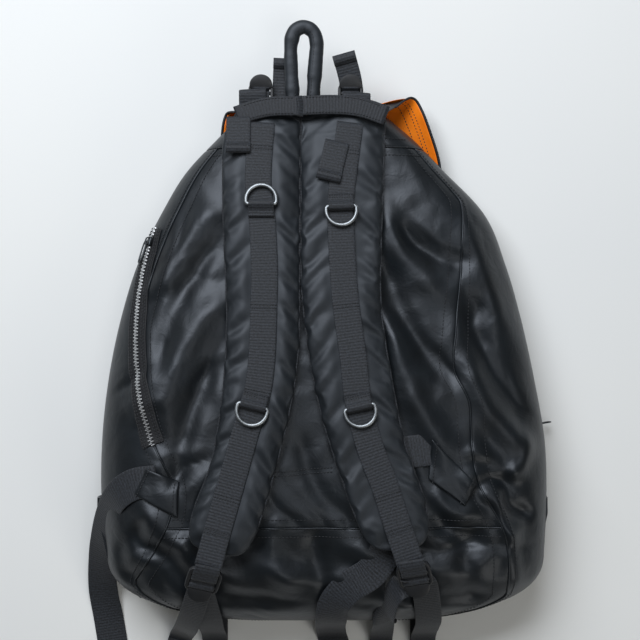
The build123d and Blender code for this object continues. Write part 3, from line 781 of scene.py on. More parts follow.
def under_side():
    """The front of the bag, which lies on the floor."""
    made = grid_mesh("front_skin", UNDER, NYLON, UNDER[..., :2].reshape(-1, 2))
    finer(made, 0, 1.2)
    keep(made, "bag", "front_panel")
    cut_sheet(UNDER, "laid")


def inner_lining():
    """Orange lining: the skin and the underside drawn in by a few millimetres."""
    sheets = (
        ("over", SKIN - [0, 0, 5], "hung", ["main_lining", "back_foam"]),
        ("under", UNDER + [0, 0, 4], "laid", []),
    )
    for name, sheet, held, replaced in sheets:
        sheet[..., 0] = CENTRE + (sheet[..., 0] - CENTRE) * 0.965
        sheet[..., 1] = np.minimum(sheet[..., 1] * 0.985, 236.5)
        made = grid_mesh(f"lining_{name}", sheet, LINING)
        finer(made, 0, 0.6)
        keep(made, "bag", *replaced)
        cut_sheet(sheet, held)


def seam_cord(name, line, radius=0.9, lift=0.3):
    """Piping along a line of skin points."""
    path = even(line + [0, 0, lift], 3.0)
    piping(name, path, np.cross(runs(path)[0], UP), radius, "bag", NYLON)


def seam_stitches(name, rows):
    """A row of stitches on each of a seam's two sides, from pairs of skin points and normals."""
    for i, (line, up) in enumerate(rows):
        stitches(f"{name}_seam_stitches_{i}", line + up * 0.5, up, "bag")


def body():
    """The five panels of the skin cut at its seams, the underside and lining, and the seams' piping."""
    rows, columns = SKIN.shape[:2]
    left, right = SIDE_COLUMNS, SIDE_COLUMNS + MIDDLE_COLUMNS
    collar, base = (int(np.argmax(SKIN[:, 0, 1] < y)) for y in (COLLAR_Y, BASE_Y))
    shell_panel("back_skin", slice(collar, base + 1), slice(left, right + 1), "back_panel")
    shell_panel("base_skin", slice(base, rows), slice(left, right + 1), "base_panel")
    shell_panel("left_skin", slice(collar, rows), slice(0, left + 1), "left_gusset")
    shell_panel("right_skin", slice(collar, rows), slice(right, columns), "right_gusset")
    shell_panel("collar_skin", slice(0, collar + 1), slice(0, columns), "collar")
    under_side()
    inner_lining()
    for name, k in (("left", left), ("right", right)):
        seam_cord(f"{name}_seam_piping", SKIN[collar:, k])
        seam_stitches(name, [(SKIN[collar:, k + i], NORMALS[collar:, k + i]) for i in (-3, 3)])
    for name, k in (("collar", collar), ("base", base)):
        seam_cord(f"{name}_seam_piping", SKIN[k, left : right + 1], 0.8, 0.1)
        seam_stitches(name, [(SKIN[k + i, left:right], NORMALS[k + i, left:right]) for i in (2, -2)])


def back_hem():
    """A short hem across the back between the pads: two rows of stitches, higher on the right."""
    for i, y in enumerate((-104.0, -108.0)):
        row = np.stack([np.linspace(-37, 15, 30), y + np.linspace(0, 4.5, 30)], -1)
        stitches(f"hem_stitches_{i}", on_skin(row, 0.6), UP, "bag", 3.0, 0.45)


body()
back_hem()

# ---------------------------------------------------------------- shoulder pads
WEB, WEB_THICK = 25.0, 1.6
PAD_TOP, PAD_MIDDLE = 14.0, 6.5
CROSS_ROWS = (49, -33, -128, -158, 200)
PLANE_UP = np.array([0, SLOPE, 1.0]) / math.hypot(1, SLOPE)
PLANE_ALONG = np.array([0, 1.0, -SLOPE]) / math.hypot(1, SLOPE)


def on_plane(xy, height):
    """Points above the harness plane, from the plane's own (x, along) coordinates."""
    xy = np.asarray(xy, float)
    height = np.broadcast_to(height, xy.shape[:-1])
    base = np.array([0, 0, HARNESS_Z]) + xy[..., :1] * [1.0, 0, 0] + xy[..., 1:2] * PLANE_ALONG
    return base + height[..., None] * PLANE_UP


def flat_path(points, step=4.0):
    """A smooth curve through (x, y) points, in the harness plane's own coordinates."""
    p = np.array([(x, y, 0) for x, y in points], float)
    return smooth_path(p, step)[:, :2]


def pad_edge_lines(side, rows):
    """The pad's two edges at the same number of places, and how far down the pad each place is."""
    t = np.linspace(0, 1, rows)
    lines = []
    for edge in PAD_EDGES[side]:
        line = flat_path(edge)
        share = np.linspace(0, 1, len(line))
        lines.append(np.stack([np.interp(t, share, line[:, k]) for k in (0, 1)], -1))
    return t, *lines


def puckers(side, v, inward, down):
    """Ripples that start at each sewn edge and lean up the pad as they go inwards."""
    draw = np.random.default_rng(7 if side == "left" else 8)
    total = np.zeros_like(inward)
    for wave, size in ((34, 0.8), (23, 1.0), (15, 0.5)):
        phase = draw.uniform(0, 6.28, 2)[(v > 0).astype(int)]
        slant = down + 0.9 * inward + 6 * np.sin(down / 47 + phase)
        total += size * np.sin(2 * math.pi * slant / wave + phase)
    total *= ease(down, 25, 120) * 0.75 + 0.25
    return total * np.exp(-((inward / 17) ** 2))


def pad_surface(side, rows=150, columns=28):
    """A closed pad: height = middle + crown (1 - |v|^2.6)^0.5 above, the same below, v = -1 to 1 across.

    Its lower end is rounded: the width closes as (1 - c^3)^0.5 over the last stretch.
    """
    t, outer, inner = pad_edge_lines(side, rows)
    closing = np.clip((t - 0.93) / 0.07, 0, 1)
    narrow = (1 - closing**3) ** 0.5 * 0.72 + 0.28
    middle, half = (outer + inner) / 2, (outer - inner) / 2 * narrow[:, None]
    v = np.sin(np.linspace(-math.pi / 2, math.pi / 2, columns + 1))
    across = middle[:, None] + half[:, None] * v[None, :, None]
    crown = (1 - np.abs(v) ** 2.6) ** 0.5
    ends = np.clip(np.minimum(t / 0.06, (1 - t) / 0.05), 0, 1) ** 0.5
    down = runs(np.pad(middle, ((0, 0), (0, 1))))[1][:, None]
    inward = (1 - np.abs(v)) * np.linalg.norm(half, axis=1)[:, None]
    ripple = puckers(side, v, inward, down) * ends[:, None]
    bulge = crown[None, :] * ends[:, None]
    high = PAD_MIDDLE + (PAD_TOP + 1.0 - PAD_MIDDLE) * bulge + 0.75 * ripple * crown**0.5
    low = PAD_MIDDLE - (PAD_MIDDLE - 1.2) * bulge
    edge = 0.5 * np.sign(v) * (np.abs(v) > 0.9)
    across = across + (edge * ripple)[..., None] * unit(half)[:, None]
    over, under = on_plane(across, high), on_plane(across[:, ::-1], low[:, ::-1])
    return np.concatenate([over, under[:, 1:-1]], 1)


def pressed_by_webbing(side, points):
    """The pad's swelling limited softly above 12 mm, and pressed flat under the webbing."""
    web = flat_path(WEB_LINES[side], 3.0)
    web = web[np.argsort(web[:, 1])]
    from_plane = points - [0, 0, HARNESS_Z]
    height, along = from_plane @ PLANE_UP, from_plane @ PLANE_ALONG
    away = np.abs(points[..., 0] - np.interp(along, web[:, 1], web[:, 0]))
    swollen = np.where(height > 12, 12 + 5.5 * np.tanh((height - 12) / 5.5), height)
    pressed = np.minimum(swollen, PAD_TOP - 0.5)
    placed = pressed + (swollen - pressed) * ease(away, WEB / 2 - 1, WEB / 2 + 8)
    lift = placed - height + np.maximum(0.3 - height, 0)
    return points + lift[..., None] * PLANE_UP


def shoulder_pad(side):
    """A quilted pad: crowned between two sewn edges, swollen by pressure, pressed flat under its webbing."""
    points = pad_surface(side)
    rows, count = points.shape[:2]
    edges = (0, count // 2)
    faces = grid_faces(rows, count, wrap=True)
    faces += [list(range(count))[::-1], [(rows - 1) * count + j for j in range(count)]]
    held = np.zeros((rows, count))
    held[:, edges] = held[[0, -1]] = 1
    points = relax(
        points, faces, held, 18, f"pad_cloth_{side}", grow=0.024, pressure=0.7, cap=2.8, bend=0.5
    )
    points = pressed_by_webbing(side, points)
    made = make_mesh(f"pad_{side}", points.reshape(-1, 3), faces, PAD_NYLON)
    outward(made)
    finer(made, 1)
    keep(made, f"strap_{side}", f"pad_cover_{side}", f"pad_foam_{side}")
    for i, column in enumerate(edges):
        path = even(smoothed(points[:, column], 4), 3.0)
        piping(f"pad_piping_{side}_{i}", path, np.cross(runs(path)[0], PLANE_UP), 0.8, f"strap_{side}")


def strap_webbing(side):
    """25 mm webbing sewn down the pad, with two rows of stitches at each keeper."""
    body = f"strap_{side}"
    line = flat_path(WEB_LINES[side], 4.0)
    path = on_plane(line, PAD_TOP + 0.1 + WEB_THICK / 2)
    run = runs(path)[0]
    strap(f"webbing_{side}", path, -np.cross(PLANE_UP, run), WEB, WEB_THICK, body, f"pad_webbing_{side}")
    for i, y in enumerate(CROSS_ROWS):
        k = int(np.argmin(np.abs(line[:, 1] - y)))
        centre, right = path[k] + PLANE_UP * (WEB_THICK / 2 + 0.25), unit(np.cross(run[k], PLANE_UP))
        for j, shift in enumerate((-1.6, 1.6)):
            ends = crosswise(centre + run[k] * shift, right, 11)
            stitches(f"cross_stitches_{side}_{i}_{j}", ends, PLANE_UP, body, 2.4, 0.42)


for pad_side in ("left", "right"):
    shoulder_pad(pad_side)
    strap_webbing(pad_side)

# ---------------------------------------------------------------- D-rings and their keepers
RING_R, RING_ARM, RING_BEND, RING_WIRE = 14.25, 4.0, 2.6, 3.5


def joint(name):
    """A joint's place in millimetres, which a slide doesn't have, and its axis."""
    found = next(j for j in frame["joints"] if j["name"] == name)
    place = found.get("pos_m")
    return place and np.array(place) / MM, np.array(found["axis"])


def box_mm(name):
    """The low and high corners of a frame node, in millimetres."""
    return [np.array(corner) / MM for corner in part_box(name)]


def d_ring(place):
    """Half-round ring of wire: a straight bar, two short arms and a half-circle bow."""
    origin, bar = joint(f"ring_{place}_flip")
    bow = unit(np.cross(PLANE_UP, bar))
    up = np.cross(bar, bow)
    corner = np.linspace(0, math.pi / 2, 7)
    arc = np.linspace(0, math.pi, 33)
    x = np.concatenate([
        np.linspace(-RING_R + RING_BEND, RING_R - RING_BEND, 9)[:-1],
        RING_R - RING_BEND + RING_BEND * np.sin(corner), RING_R * np.cos(arc),
        -(RING_R - RING_BEND + RING_BEND * np.sin(corner[::-1][:-1])),
    ])
    y = np.concatenate([
        np.zeros(8), RING_BEND - RING_BEND * np.cos(corner), RING_ARM + RING_R * np.sin(arc),
        RING_BEND - RING_BEND * np.cos(corner[::-1][:-1]),
    ])
    path = origin + x[:, None] * bar + y[:, None] * bow
    wire = round_profile(RING_WIRE / 2, 14)
    made = carried(f"ring_wire_{place}", path, up, wire, NICKEL, closed=True)
    keep(made, f"ring_{place}", f"d_ring_{place}")
    ring_keeper(place, origin, bar, bow, up)


def ring_keeper(place, origin, bar, bow, up):
    """Webbing wrapped round the ring's bar and sewn down behind it."""
    body = f"strap_{place.split('_')[1]}"
    loop = [
        (-12, -1.6), (-6, -1.0), (-2.5, 1.6), (0.2, 2.9), (2.9, 1.4), (3.2, -1.4), (1.4, -3.3), (-3, -3.7),
        (-12, -3.6),
    ]
    path = smooth_path([origin + bow * a + up * b for a, b in loop], 1.2)
    strap(f"ring_keeper_cloth_{place}", path, bar, 24, 1.2, body, f"ring_keeper_{place}", columns=20)
    for i, back in enumerate((-8.5, -11)):
        ends = crosswise(origin + bow * back - up * 0.6, bar, 10.5)
        stitches(f"keeper_stitches_{place}_{i}", ends, up, body, 2.2, 0.4)


for ring_place in ("upper_left", "upper_right", "lower_left", "lower_right"):
    d_ring(ring_place)

# ---------------------------------------------------------------- head: band, handle, tails, upper locks
BAND_HIGH = 16.2
BAND_LINES = (
    [(-75, 232), (-58, 238), (-40, 241.5), (-14, 242)],
    [(-16, 242), (20, 243), (45, 240), (68, 232)],
)
HANDLE_LINE = [
    (-9.2, -6), (-10.4, 18), (-11.4, 40), (-11.0, 55), (-7.4, 66), (1.5, 70), (10.2, 65), (13.4, 54),
    (12.6, 40), (11.0, 18), (9.6, -6),
]
HANDLE_HALF_WIDE, HANDLE_HALF_HIGH = 6.9, 5.6
# Webbing over a lock's bars: (share of the lock's length, height).
LOCK_WEBBING = [(0.30, 3.0), (0.40, 2.6), (0.50, -0.8), (0.58, 0.8), (0.66, 3.0), (0.76, 2.0), (0.84, -1.5)]
# The load webbing's fold on the floor: (y, z).
FLOOR_FOLD = [(-296, 5.4), (-308, 5.2), (-312.6, 3.4), (-308, 1.3), (-285, 1.0), (-258, 1.6)]


def head_band():
    """Ribbed band over the pad heads, in two lengths that meet under the handle."""
    for i, line in enumerate(BAND_LINES):
        path = on_plane(flat_path(line, 4.0), BAND_HIGH + 0.6 * i)
        replaced = ["top_band"] if i == 0 else []
        strap(f"band_{i}", path, PLANE_ALONG, 19, 2.2, "bag", *replaced, material=BAND)
        for j, offset in enumerate((-7.5, 7.5)):
            row = path[2:-2] + PLANE_ALONG * offset + PLANE_UP * 1.4
            stitches(f"band_stitches_{i}_{j}", row, PLANE_UP, "bag", 3.0, 0.4)


def band_fold():
    """The folded edge where the two halves of the band meet, and the loops that hold the upper locks."""
    path = on_plane(flat_path([(-15.5, 251), (-13.8, 243), (-14.5, 231)], 2.0), BAND_HIGH + 2)
    strap("band_fold", path, [1.0, 0.0, -0.5], 6.5, 1.8, "bag", material=BAND, columns=16)
    for side, x, top, lean in (("left", -60.0, 258.0, 0.06), ("right", 40.0, 255.0, -0.08)):
        loop = [
            (x, 238, 67.5), (x, top - 4, 70.5), (x, top, 69.5), (x, top + 0.5, 68.0), (x, top - 1, 66.8),
            (x, 243, 64.8),
        ]
        strap(f"lock_loop_{side}", smooth_path(loop, 1.5), [1.0, lean, 0.0], 26, 1.5, "bag")


def grab_handle():
    """Padded tube bent into a loop, with stitches along its outside and small creases along its length."""
    hinge, _ = joint("handle_fold")
    path = smooth_path([(hinge[0] + x, hinge[1] + y, hinge[2]) for x, y in HANDLE_LINE], 1.6)
    run, length = runs(path)
    a = np.linspace(0, 2 * math.pi, 24, endpoint=False)
    swell = 1 + 0.05 * waves(length, 0 * length, 19, 61) + 0.03 * waves(length, 0 * length, 8, 62)
    high = np.sign(np.sin(a)) * np.abs(np.sin(a)) ** 0.8 * HANDLE_HALF_HIGH
    profile = np.stack([high, np.cos(a) * HANDLE_HALF_WIDE], -1)
    made = carried("handle_tube", path, UP, profile, PAD_NYLON, swell=swell)
    finer(made, 1)
    keep(made, "handle", "grab_handle")
    row = path + UP * (HANDLE_HALF_HIGH - 0.2) + np.cross(run, UP) * 2.6
    stitches("handle_stitches", row, UP, "handle", 3.2, 0.35)


def tail_end(name, path, across, body, width, *replaced, thick=1.3):
    """A webbing tail: flat webbing with its end folded over and sewn."""
    strap(name, path, across, width, thick, body, *replaced)
    run = runs(path)[0]
    side = square_to(run, across)
    tip, back, s, u = path[-1], -run[-1], side[-1], np.cross(side, run)[-1]
    u = u if u[2] >= 0 else -u
    hem = np.array([tip, tip + back * 10]) + u * thick * 0.9
    strap(name + "_hem", hem, s, width + 0.3, thick, body)
    row = crosswise(tip + back * 7 + u * thick * 1.6, s, width / 2 - 1.5)
    stitches(name + "_hem_stitches", row, u, body, 2.4, 0.4)


def head_tails():
    """Tails folded down on the pads, and tails that stand up beyond the band."""
    tabs = {"left": [(-73, 231), (-73, 196)], "right": [(21, 207), (12, 169)]}
    for side, ends in tabs.items():
        path = on_plane(flat_path(ends, 4.0), PAD_TOP + 3.2)
        across = np.cross(runs(path)[0], PLANE_UP)
        tail_end(f"pad_tail_{side}", path, across, f"strap_{side}", 23, f"tail_tab_{side}")
    stands = {
        "left": ([(-31, 246, 60), (-30, 268, 59.5), (-29, 290, 61)], [1.0, 0.05, 0]),
        "right": ([(36, 246, 61), (34, 268, 62), (27, 294, 66)], [1.0, 0.05, 0.1]),
    }
    for side, (points, across) in stands.items():
        tail_end(f"standing_tail_{side}", smooth_path(points, 4.0), across, "bag", 22, f"upper_tail_{side}")


head_band()
band_fold()
grab_handle()
head_tails()


def bar(name, a, b, radius, body):
    """A round rod between two points, its ends rounded off as (1 - |2t - 1|^12)^0.5."""
    t = np.concatenate([[0.0], 0.5 - 0.5 * np.cos(np.linspace(0.25, math.pi - 0.25, 9)), [1.0]])
    swell = np.sqrt(np.clip(1 - (2 * t - 1) ** 12, 0.02, 1))
    side = np.cross(unit(b - a), [0.12, 0.3, 1.0])
    made = carried(name, a + (b - a) * t[:, None], side, round_profile(radius, 12), ACETAL, swell=swell)
    return keep(made, body)


def ladder_lock(name, origin, right, down, up, body, replaced, wide=32.0, long=30.0):
    """Moulded frame with two cross bars and a half-round thumb tab, and webbing over the bars."""
    def at(x, y, z):
        return origin + right * x + down * y + up * z

    half = wide / 2 - 2
    corners = np.array([(-half, 0), (half, 0), (half, long - 4), (-half, long - 4)])
    ring = []
    for (x0, y0), (x1, y1) in zip(corners, np.roll(corners, -1, 0)):
        for s in np.linspace(0.1, 0.9, 5):
            ring.append(at(x0 + (x1 - x0) * s, y0 + (y1 - y0) * s, 0))
    made = carried(name + "_frame", np.array(ring), up, strap_profile(4.6, 3.6, 12), ACETAL, closed=True)
    finer(made, 1)
    keep(made, body, replaced)
    for i, y in enumerate((long * 0.36, long * 0.66)):
        bar(f"{name}_bar_{i}", at(-half, y, 0.3), at(half, y, 0.3), 1.9, body)
    lock_tab(name + "_tab", at, up, long, body)
    over = [(-5.0, 0.2), (0.5, 2.6), (5, 2.6)]
    over += [(long * s, z) for s, z in LOCK_WEBBING]
    path = smooth_path([at(0, y, z) for y, z in over], 1.5)
    strap(name + "_webbing", path, right, wide - 8.5, 1.5, body, columns=20)


def lock_tab(name, at, up, long, body):
    """The half-round thumb tab: a curved plate that rises towards its rim."""
    a = np.linspace(0, math.pi, 25)
    rim = [at(np.cos(q) * 11, long - 4 + np.sin(q) * 10.0, 2.4 + 2.2 * np.sin(q)) for q in a]
    back = [at(np.cos(q) * 11, long - 6.5, 1.9) for q in a]
    plate = np.stack([back, rim], 1)
    thick = np.concatenate([plate + up * 1.3, plate[:, ::-1] - up * 1.0], 1)
    faces = grid_faces(25, 4, wrap=True) + [[3, 2, 1, 0], [96, 97, 98, 99]]
    made = make_mesh(name, thick.reshape(-1, 3), faces, ACETAL)
    outward(made)
    edge = made.modifiers.new("edge", "BEVEL")
    edge.width, edge.segments = 0.5 * MM, 2
    keep(made, body)


def lower_locks():
    """A lock at the end of each strap, its tail, and the webbing that goes on to the base."""
    for side in ("left", "right"):
        origin, axis = joint(f"lock_{side}_tilt")
        right = -axis
        low, _ = box_mm(f"ladder_lock_{side}")
        tip = np.array([origin[0] + (-9 if side == "left" else 7), low[1] + 6, low[2] + 5])
        down = unit(tip - origin - right * np.dot(tip - origin, right))
        up = np.cross(right, -down)
        up = up if up[2] > 0 else -up
        ladder_lock(f"lock_{side}", origin, right, down, up, f"lock_{side}", f"ladder_lock_{side}")
        lock_tail(side, origin + down * 22 - up * 0.8, right, down)
        load_webbing(side, origin + down * 20 - up * 2.5, right, down)


def lock_tail(side, start, right, down):
    """The free end of the adjusting webbing, from the lock to the floor."""
    if side == "left":
        route = [
            start, start + down * 12, (-116, -238, 92), (-124, -258, 62), (-131, -272, 26), (-136, -282, 5),
            (-139, -294, 2.2),
        ]
        across = [right, right, (1.0, -0.35, 0.05), (1.0, -0.35, 0.05), (1.0, -0.3, 0)]
    else:
        route = [
            start - right * 4, (80, -207, 115), (72, -217, 108), (68, -236, 92), (66, -254, 62),
            (66, -270, 28), (66, -284, 6), (66, -300, 2.2),
        ]
        across = [
            right, (0.5, 0.1, 0.8), (0.35, 0.2, 1.0), (0.5, 0.5, 0.6), (0.9, 0.3, 0.3), (1, 0, 0), (1, 0, 0),
        ]
    path = smooth_path(route, 3.0)
    body, replaced = f"lock_{side}", f"lock_tail_{side}"
    tail_end(f"lock_tail_cloth_{side}", path, turning(across, len(path)), body, 23, replaced)


def load_webbing(side, entry, right, down):
    """Webbing from the lock over the base to the floor, where it is folded back under the bag."""
    x = {"left": -101.0, "right": 108.0}[side]
    over = [
        entry, entry + down * 9 + [0.4 * (x - entry[0]), 0, -1], (x, -246, 76), (x, -262, 50), (x, -274, 22),
        (x, -286, 6.5), (x, -300, 5.4),
    ]
    path = smooth_path(over, 3.0)
    across = turning([right, (1.0, 0, 0)], len(path))
    made = carried(f"load_webbing_{side}", path, across, strap_profile(WEB, WEB_THICK), WEBBING)
    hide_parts(f"lower_webbing_{side}")
    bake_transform(made)
    fold = [(x, y, z) for y, z in FLOOR_FOLD]
    strap(f"floor_webbing_{side}", smooth_path(fold, 2.0), [1.0, 0, 0], WEB, WEB_THICK, "bag")


def upper_locks():
    """Two small locks beyond the band, flat over the mouth."""
    axes = [np.array(v, float) for v in ((1, 0, 0), (0, 1, 0), (0, 0, 1))]
    for side in ("left", "right"):
        low, high = box_mm(f"upper_lock_{side}")
        origin = np.array([(low[0] + high[0]) / 2, low[1] + 1, high[2] - 1.5])
        ladder_lock(f"upper_lock_{side}_plastic", origin, *axes, "bag", f"upper_lock_{side}", 25.0, 18.0)


lower_locks()
upper_locks()


# ---------------------------------------------------------------- lid
LID_ROWS, LID_COLUMNS = 70, 61
LID_LINE = [
    (243, 55), (249, 50), (250.5, 30), (248, 8), (238, 2.0), (200, 1.4), (150, 1.3), (79, 1.3),
]


def lid():
    """A flap from the head of the back, over the mouth and under the front; its rim curls up like a dish."""
    t = np.linspace(0, 1, LID_ROWS)
    profile = smooth_path([(0, y, z) for y, z in LID_LINE], 2.0)
    length = runs(profile)[1] / runs(profile)[1][-1]
    y, z = np.interp(t, length, profile[:, 1]), np.interp(t, length, profile[:, 2])
    half = through([0, 0.12, 0.3, 0.45, 0.7, 1.0], [70, 82, 100, 108, 107, 96])(t)
    middle = through([0, 0.2, 0.45, 1.0], [-3, 4, 14, 12])(t)
    u = np.linspace(-1, 1, LID_COLUMNS)
    x = middle[:, None] + half[:, None] * u
    edge = np.abs(u) ** 5
    curl = np.clip((t - 0.1) / 0.2, 0, 1)[:, None]
    lift = 26 * edge * curl * np.clip(1.25 - t, 0, 1)[:, None]
    pull = -10 * edge * np.clip(0.5 - t, 0, 1)[:, None] * 2
    pull = pull + 15 * edge * (u > 0) * np.exp(-(((t - 0.22) / 0.12) ** 2))[:, None]
    points = np.stack([x, y[:, None] + pull + 0 * x, z[:, None] + lift], -1)
    points[..., 2] += 0.8 * waves(x, y[:, None] + 0 * x, 30, 11) * edge
    inner = points.copy()
    inner[..., 0] = middle[:, None] + half[:, None] * u * (0.7 + 0.285 * ease(t, 0.08, 0.24)[:, None])
    inner[..., 2] += 1.6
    inner[..., 1] -= 1.6 * np.clip(1 - t * 3, 0, 1)[:, None]
    sheets = (
        ("lid_outside", points, NYLON, 0.9, "lid_shell"),
        ("lid_inside", inner, LINING, 0.6, "lid_lining"),
    )
    for name, sheet, material, thick, replaced in sheets:
        made = grid_mesh(name, sheet, material, sheet[..., :2].reshape(-1, 2))
        finer(made, 1, thick)
        keep(made, "lid", replaced)
        cut_sheet(sheet, "folded")
    for i, share in enumerate((0.94, 0.89, 0.84)):
        for j, s in enumerate((-1, 1)):
            k = int(round((s * share + 1) * (LID_COLUMNS // 2)))
            row = inner[14:60, k] + [0, 0, 0.6]
            stitches(f"lid_stitches_{i}_{j}", row, np.array([-0.3 * s, 0, 1.0]), "lid", 3.2, 0.55)
    for j, k in enumerate((0, LID_COLUMNS - 1)):
        piping(f"lid_binding_{j}", even(points[6:, k] + UP, 3.0), UP, 1.0, "lid")


lid()

# ---------------------------------------------------------------- left and right zips
TEETH_PITCH = 3.4
TAPE_COLUMNS = 13
LEFT_ZIP_R = 345.0
# Sections of a slider's body: (place along it, half width, half height).
SLIDER_SECTIONS = ((-5.5, 2.7, 1.3), (-4.6, 3.4, 2.1), (0, 3.6, 2.5), (4.0, 4.2, 2.3), (5.2, 3.8, 1.3))
SLIDER_BRIDGE = ((-4, 2.4), (-2.5, 4.4), (2.5, 4.4), (4, 2.4))


def zip_tooth():
    """One tooth: a small wedge block, 3.8 mm across, 1.2 mm along and 1.4 mm high."""
    x, y, z = 1.9, 0.62, 1.4
    lower = [(-x, -y, 0), (x, -y, 0), (x, y, 0), (-x, y, 0)]
    upper = [(-x * 0.75, -y * 0.6, z), (x * 0.9, -y * 0.8, z), (x * 0.9, y * 0.8, z), (-x * 0.75, y * 0.6, z)]
    faces = [[3, 2, 1, 0], [4, 5, 6, 7], [0, 1, 5, 4], [1, 2, 6, 5], [2, 3, 7, 6], [3, 0, 4, 7]]
    return np.array(lower + upper), faces


def zip_run(name, path, up, wide=22.0):
    """Tape, two rows of meshed teeth and four rows of topstitching along a path."""
    run, length = runs(path)
    side = unit(np.cross(run, up))
    across = np.linspace(-wide / 2, wide / 2, TAPE_COLUMNS)
    cloth = conform(path[:, None] + side[:, None] * across[None, :, None], up[:, None], 1.3)
    weave = np.stack(np.broadcast_arrays(across[None, :], length[:, None]), -1).reshape(-1, 2)
    tape = grid_mesh(f"{name}_tape_cloth", cloth, TAPE_CLOTH, weave)
    finer(tape, 1, 0.9)
    keep(tape, "bag", f"{name}_tape")
    path = cloth[:, TAPE_COLUMNS // 2]
    line = even(path + up * 0.5, TEETH_PITCH / 2)
    at = np.linspace(0, len(path) - 1, len(line)).astype(int)
    run, out = runs(line)[0], unit(up[at])
    across = unit(np.cross(run, out))
    out = np.cross(across, run)
    flip = np.where(np.arange(len(line)) % 2, 1.0, -1.0)[:, None]
    places = np.stack([line + across * flip * 1.1, -across * flip, run * -flip, out], 1)
    teeth = copies(f"{name}_teeth_metal", *zip_tooth(), places, TEETH_METAL)
    teeth.data.shade_flat()
    keep(teeth, "bag", f"{name}_teeth")
    for i, offset in enumerate((-6.5, -9.0, 6.5, 9.0)):
        stitches(f"{name}_topstitch_{i}", conform(path + side * offset, up, 1.8), up, "bag", 3.2, 0.36)


def zip_slider(name, origin, run, side, up, body, replaced):
    """Cast slider: a wedge body, wider at its nose, with a bridge for the pull."""
    rows = []
    for s, wide, high in SLIDER_SECTIONS:
        profile = strap_profile(wide * 2, high * 2, 16)
        rows.append(origin + run * s + profile[:, :1] * side + profile[:, 1:] * up)
    points = np.array(rows)
    faces = grid_faces(5, 16, wrap=True) + [list(range(16))[::-1], [64 + j for j in range(16)]]
    made = make_mesh(name + "_body", points.reshape(-1, 3), faces, SLIDER_METAL)
    outward(made)
    finer(made, 1)
    keep(made, body, replaced)
    arch = smooth_path([origin + run * a + up * b for a, b in SLIDER_BRIDGE], 1.0)
    strap(name + "_bridge", arch, side, 2.6, 1.1, body, material=SLIDER_METAL, columns=12)


def zip_pull(name, origin, away, side, up, body, replaced, long=22.0):
    """Flat pull: one closed loop of metal, x = sin t and y = 1 - cos t, both squared off by a power."""
    t = np.linspace(0, 2 * math.pi, 40, endpoint=False)
    x = np.sign(np.sin(t)) * np.abs(np.sin(t)) ** 0.7 * 3.2
    y = long / 2 - np.sign(np.cos(t)) * np.abs(np.cos(t)) ** 0.45 * long / 2
    path = origin + x[:, None] * side + y[:, None] * away
    made = carried(name + "_metal", path, up, strap_profile(1.3, 1.7, 10), SLIDER_METAL, closed=True)
    keep(made, body, replaced)


def left_zip():
    """The curved zip: an arc round the slider's own joint, dropped on to the skin."""
    centre, axis = joint("left_zip_run")
    x_dir = unit(np.array([1.0, 0, 0]) - axis * axis[0])
    y_dir = np.cross(axis, x_dir)
    angles = np.radians(np.linspace(163, 199, 60))
    arc = centre + LEFT_ZIP_R * (np.cos(angles)[:, None] * x_dir + np.sin(angles)[:, None] * y_dir)
    path = on_skin(arc, 0.8)
    near = [int(np.argmin(np.sum((SKIN.reshape(-1, 3) - p) ** 2, 1))) for p in path]
    up = unit(smoothed(unit(NORMALS.reshape(-1, 3)[near] + [-0.25, 0, 0]), 6))
    path[:, 2] = np.maximum(smoothed(path[:, 2], 4), path[:, 2]) + 0.8
    zip_run("left_zip", path, up)
    run = runs(path)[0]
    side = unit(np.cross(run, up))
    k = 4
    place, axes = path[k], (run[k], side[k], up[k])
    zip_slider("left_slider", place + up[k] * 1.4, *axes, "left_slider", "left_zip_slider")
    zip_pull("left_pull", place + up[k] * 5.6 + run[k], *axes, "left_pull", "left_zip_pull")


def right_zip():
    """The straight zip low on the right side, under its pull's joint."""
    _, run = joint("right_zip_run")
    pull_at, side = joint("right_pull_flip")
    out = unit(np.cross(side, run))
    out = out if out[0] > 0 else -out
    start = pull_at - out * 4.2
    line = start + run * np.linspace(-14, 100, 40)[:, None]
    zip_run("right_zip", line - out * 0.8, np.tile(out, (len(line), 1)), wide=16.0)
    zip_slider("right_slider", start + out * 1.2, run, side, out, "right_slider", "right_zip_slider")
    zip_pull("right_pull", pull_at, out, side, run, "right_pull", "right_zip_pull", 13.0)


left_zip()
right_zip()


# ---------------------------------------------------------------- waist wings, straps and buckles
def wing(name, outline, replaced, lift=3.0):
    """A stitched tab: a quilted patch between four corners, puffed by (sin pi s sin pi t)^0.4."""
    a, b, c, d = (np.array(p, float) for p in outline)
    s, t = np.meshgrid(np.linspace(0, 1, 22), np.linspace(0, 1, 18), indexing="ij")
    s, t = s[..., None], t[..., None]
    flat = a * (1 - s) * (1 - t) + b * s * (1 - t) + c * s * t + d * (1 - s) * t
    placed = on_skin(flat.reshape(-1, 2), lift).reshape(22, 18, 3)
    placed[..., 2] += 2.4 * (np.sin(math.pi * s[..., 0]) * np.sin(math.pi * t[..., 0])) ** 0.4
    made = grid_mesh(name, placed, NYLON)
    finer(made, 1, 2.0)
    keep(made, "bag", replaced)
    for i, row in enumerate((placed[:, 2], placed[:, -3])):
        stitches(f"{name}_stitches_{i}", row + [0, 0, 0.6], UP, "bag", 3.0, 0.4)


def waist_strap(side, points, across):
    """30 mm webbing along its route, each section turned to its own across direction."""
    path = smooth_path(points, 4.0)
    strap(f"waist_webbing_{side}", path, turning(across, len(path)), 30, 1.6, "bag", f"waist_strap_{side}")


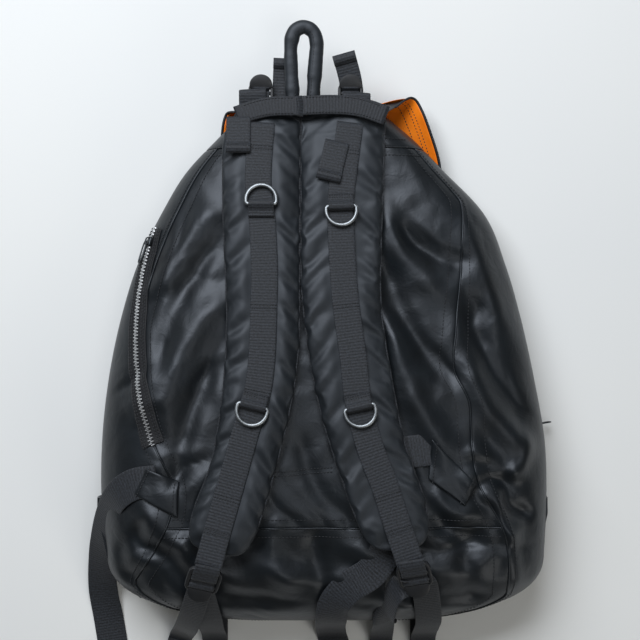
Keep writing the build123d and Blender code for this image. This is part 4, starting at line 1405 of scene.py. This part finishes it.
def waist():
    """The two wings and the webbing that leaves from them."""
    left = [(-127, -112), (-127, -146), (-172, -124), (-158, -100)]
    right = [(152, -116), (139, -134), (105, -110), (108, -72)]
    for side, outline in (("left", left), ("right", right)):
        wing(f"{side}_wing_cloth", outline, f"waist_wing_{side}")
    waist_strap(
        "left",
        [
            *on_skin([(-148, -112), (-170, -116), (-188, -129)], 3.5), (-200, -150, 66), (-208, -176, 46),
            (-212, -206, 24), (-213, -235, 8), (-209, -262, 1.8), (-204, -292, 1.6),
        ],
        [
            (0.3, -0.9, 0.2), (0.4, -0.9, 0.3), (0.6, -0.7, 0.4), (0.75, -0.35, 0.6), (0.75, 0, 0.66),
            (0.9, 0, 0.4), (1, 0, 0.1), (1, 0, 0), (1, 0, 0),
        ],
    )
    waist_strap(
        "right",
        [
            (110, -82, 103.5), (96, -84, 103), (80, -88, 102.6), (66, -110, 105.4), (64, -150, 110.4),
            (66, -174, 109.5), (52, -196, 108.5), (32, -210, 105), (18, -228, 97), (15, -248, 78),
            (15, -266, 34), (17, -281, 3.4), (20, -292, 1.8),
        ],
        [
            (0, -1, 0.13), (0, -1, 0.13), (0.15, -1, 0.13), (0.8, -0.6, 0.1), (1, 0.1, 0), (1, 0.2, 0),
            (0.7, -0.7, 0.2), (0.75, -0.6, 0.2), (1, -0.2, 0), (1, 0, 0), (1, 0, 0), (1, 0, 0), (1, 0, 0),
        ],
    )


waist()

# ---------------------------------------------------------------- carried-over frame nodes and the floor
CARRIED_OVER = {
    "front_pocket": NYLON, "hook_patches": BAND, "loop_patches": BAND, "side_pocket_left": NYLON,
    "side_pocket_right": NYLON, "waist_buckle_male": ACETAL, "waist_buckle_female": ACETAL,
}
for part, finish in CARRIED_OVER.items():
    shape = frame["nodes"][part].data
    shape.materials.clear()
    shape.materials.append(finish)

studio()
floor_points = [(-2500, -2500, 0), (2500, -2500, 0), (2500, 2500, 0), (-2500, 2500, 0)]
floor = make_mesh("floor", floor_points, [[0, 1, 2, 3]], BOARD)
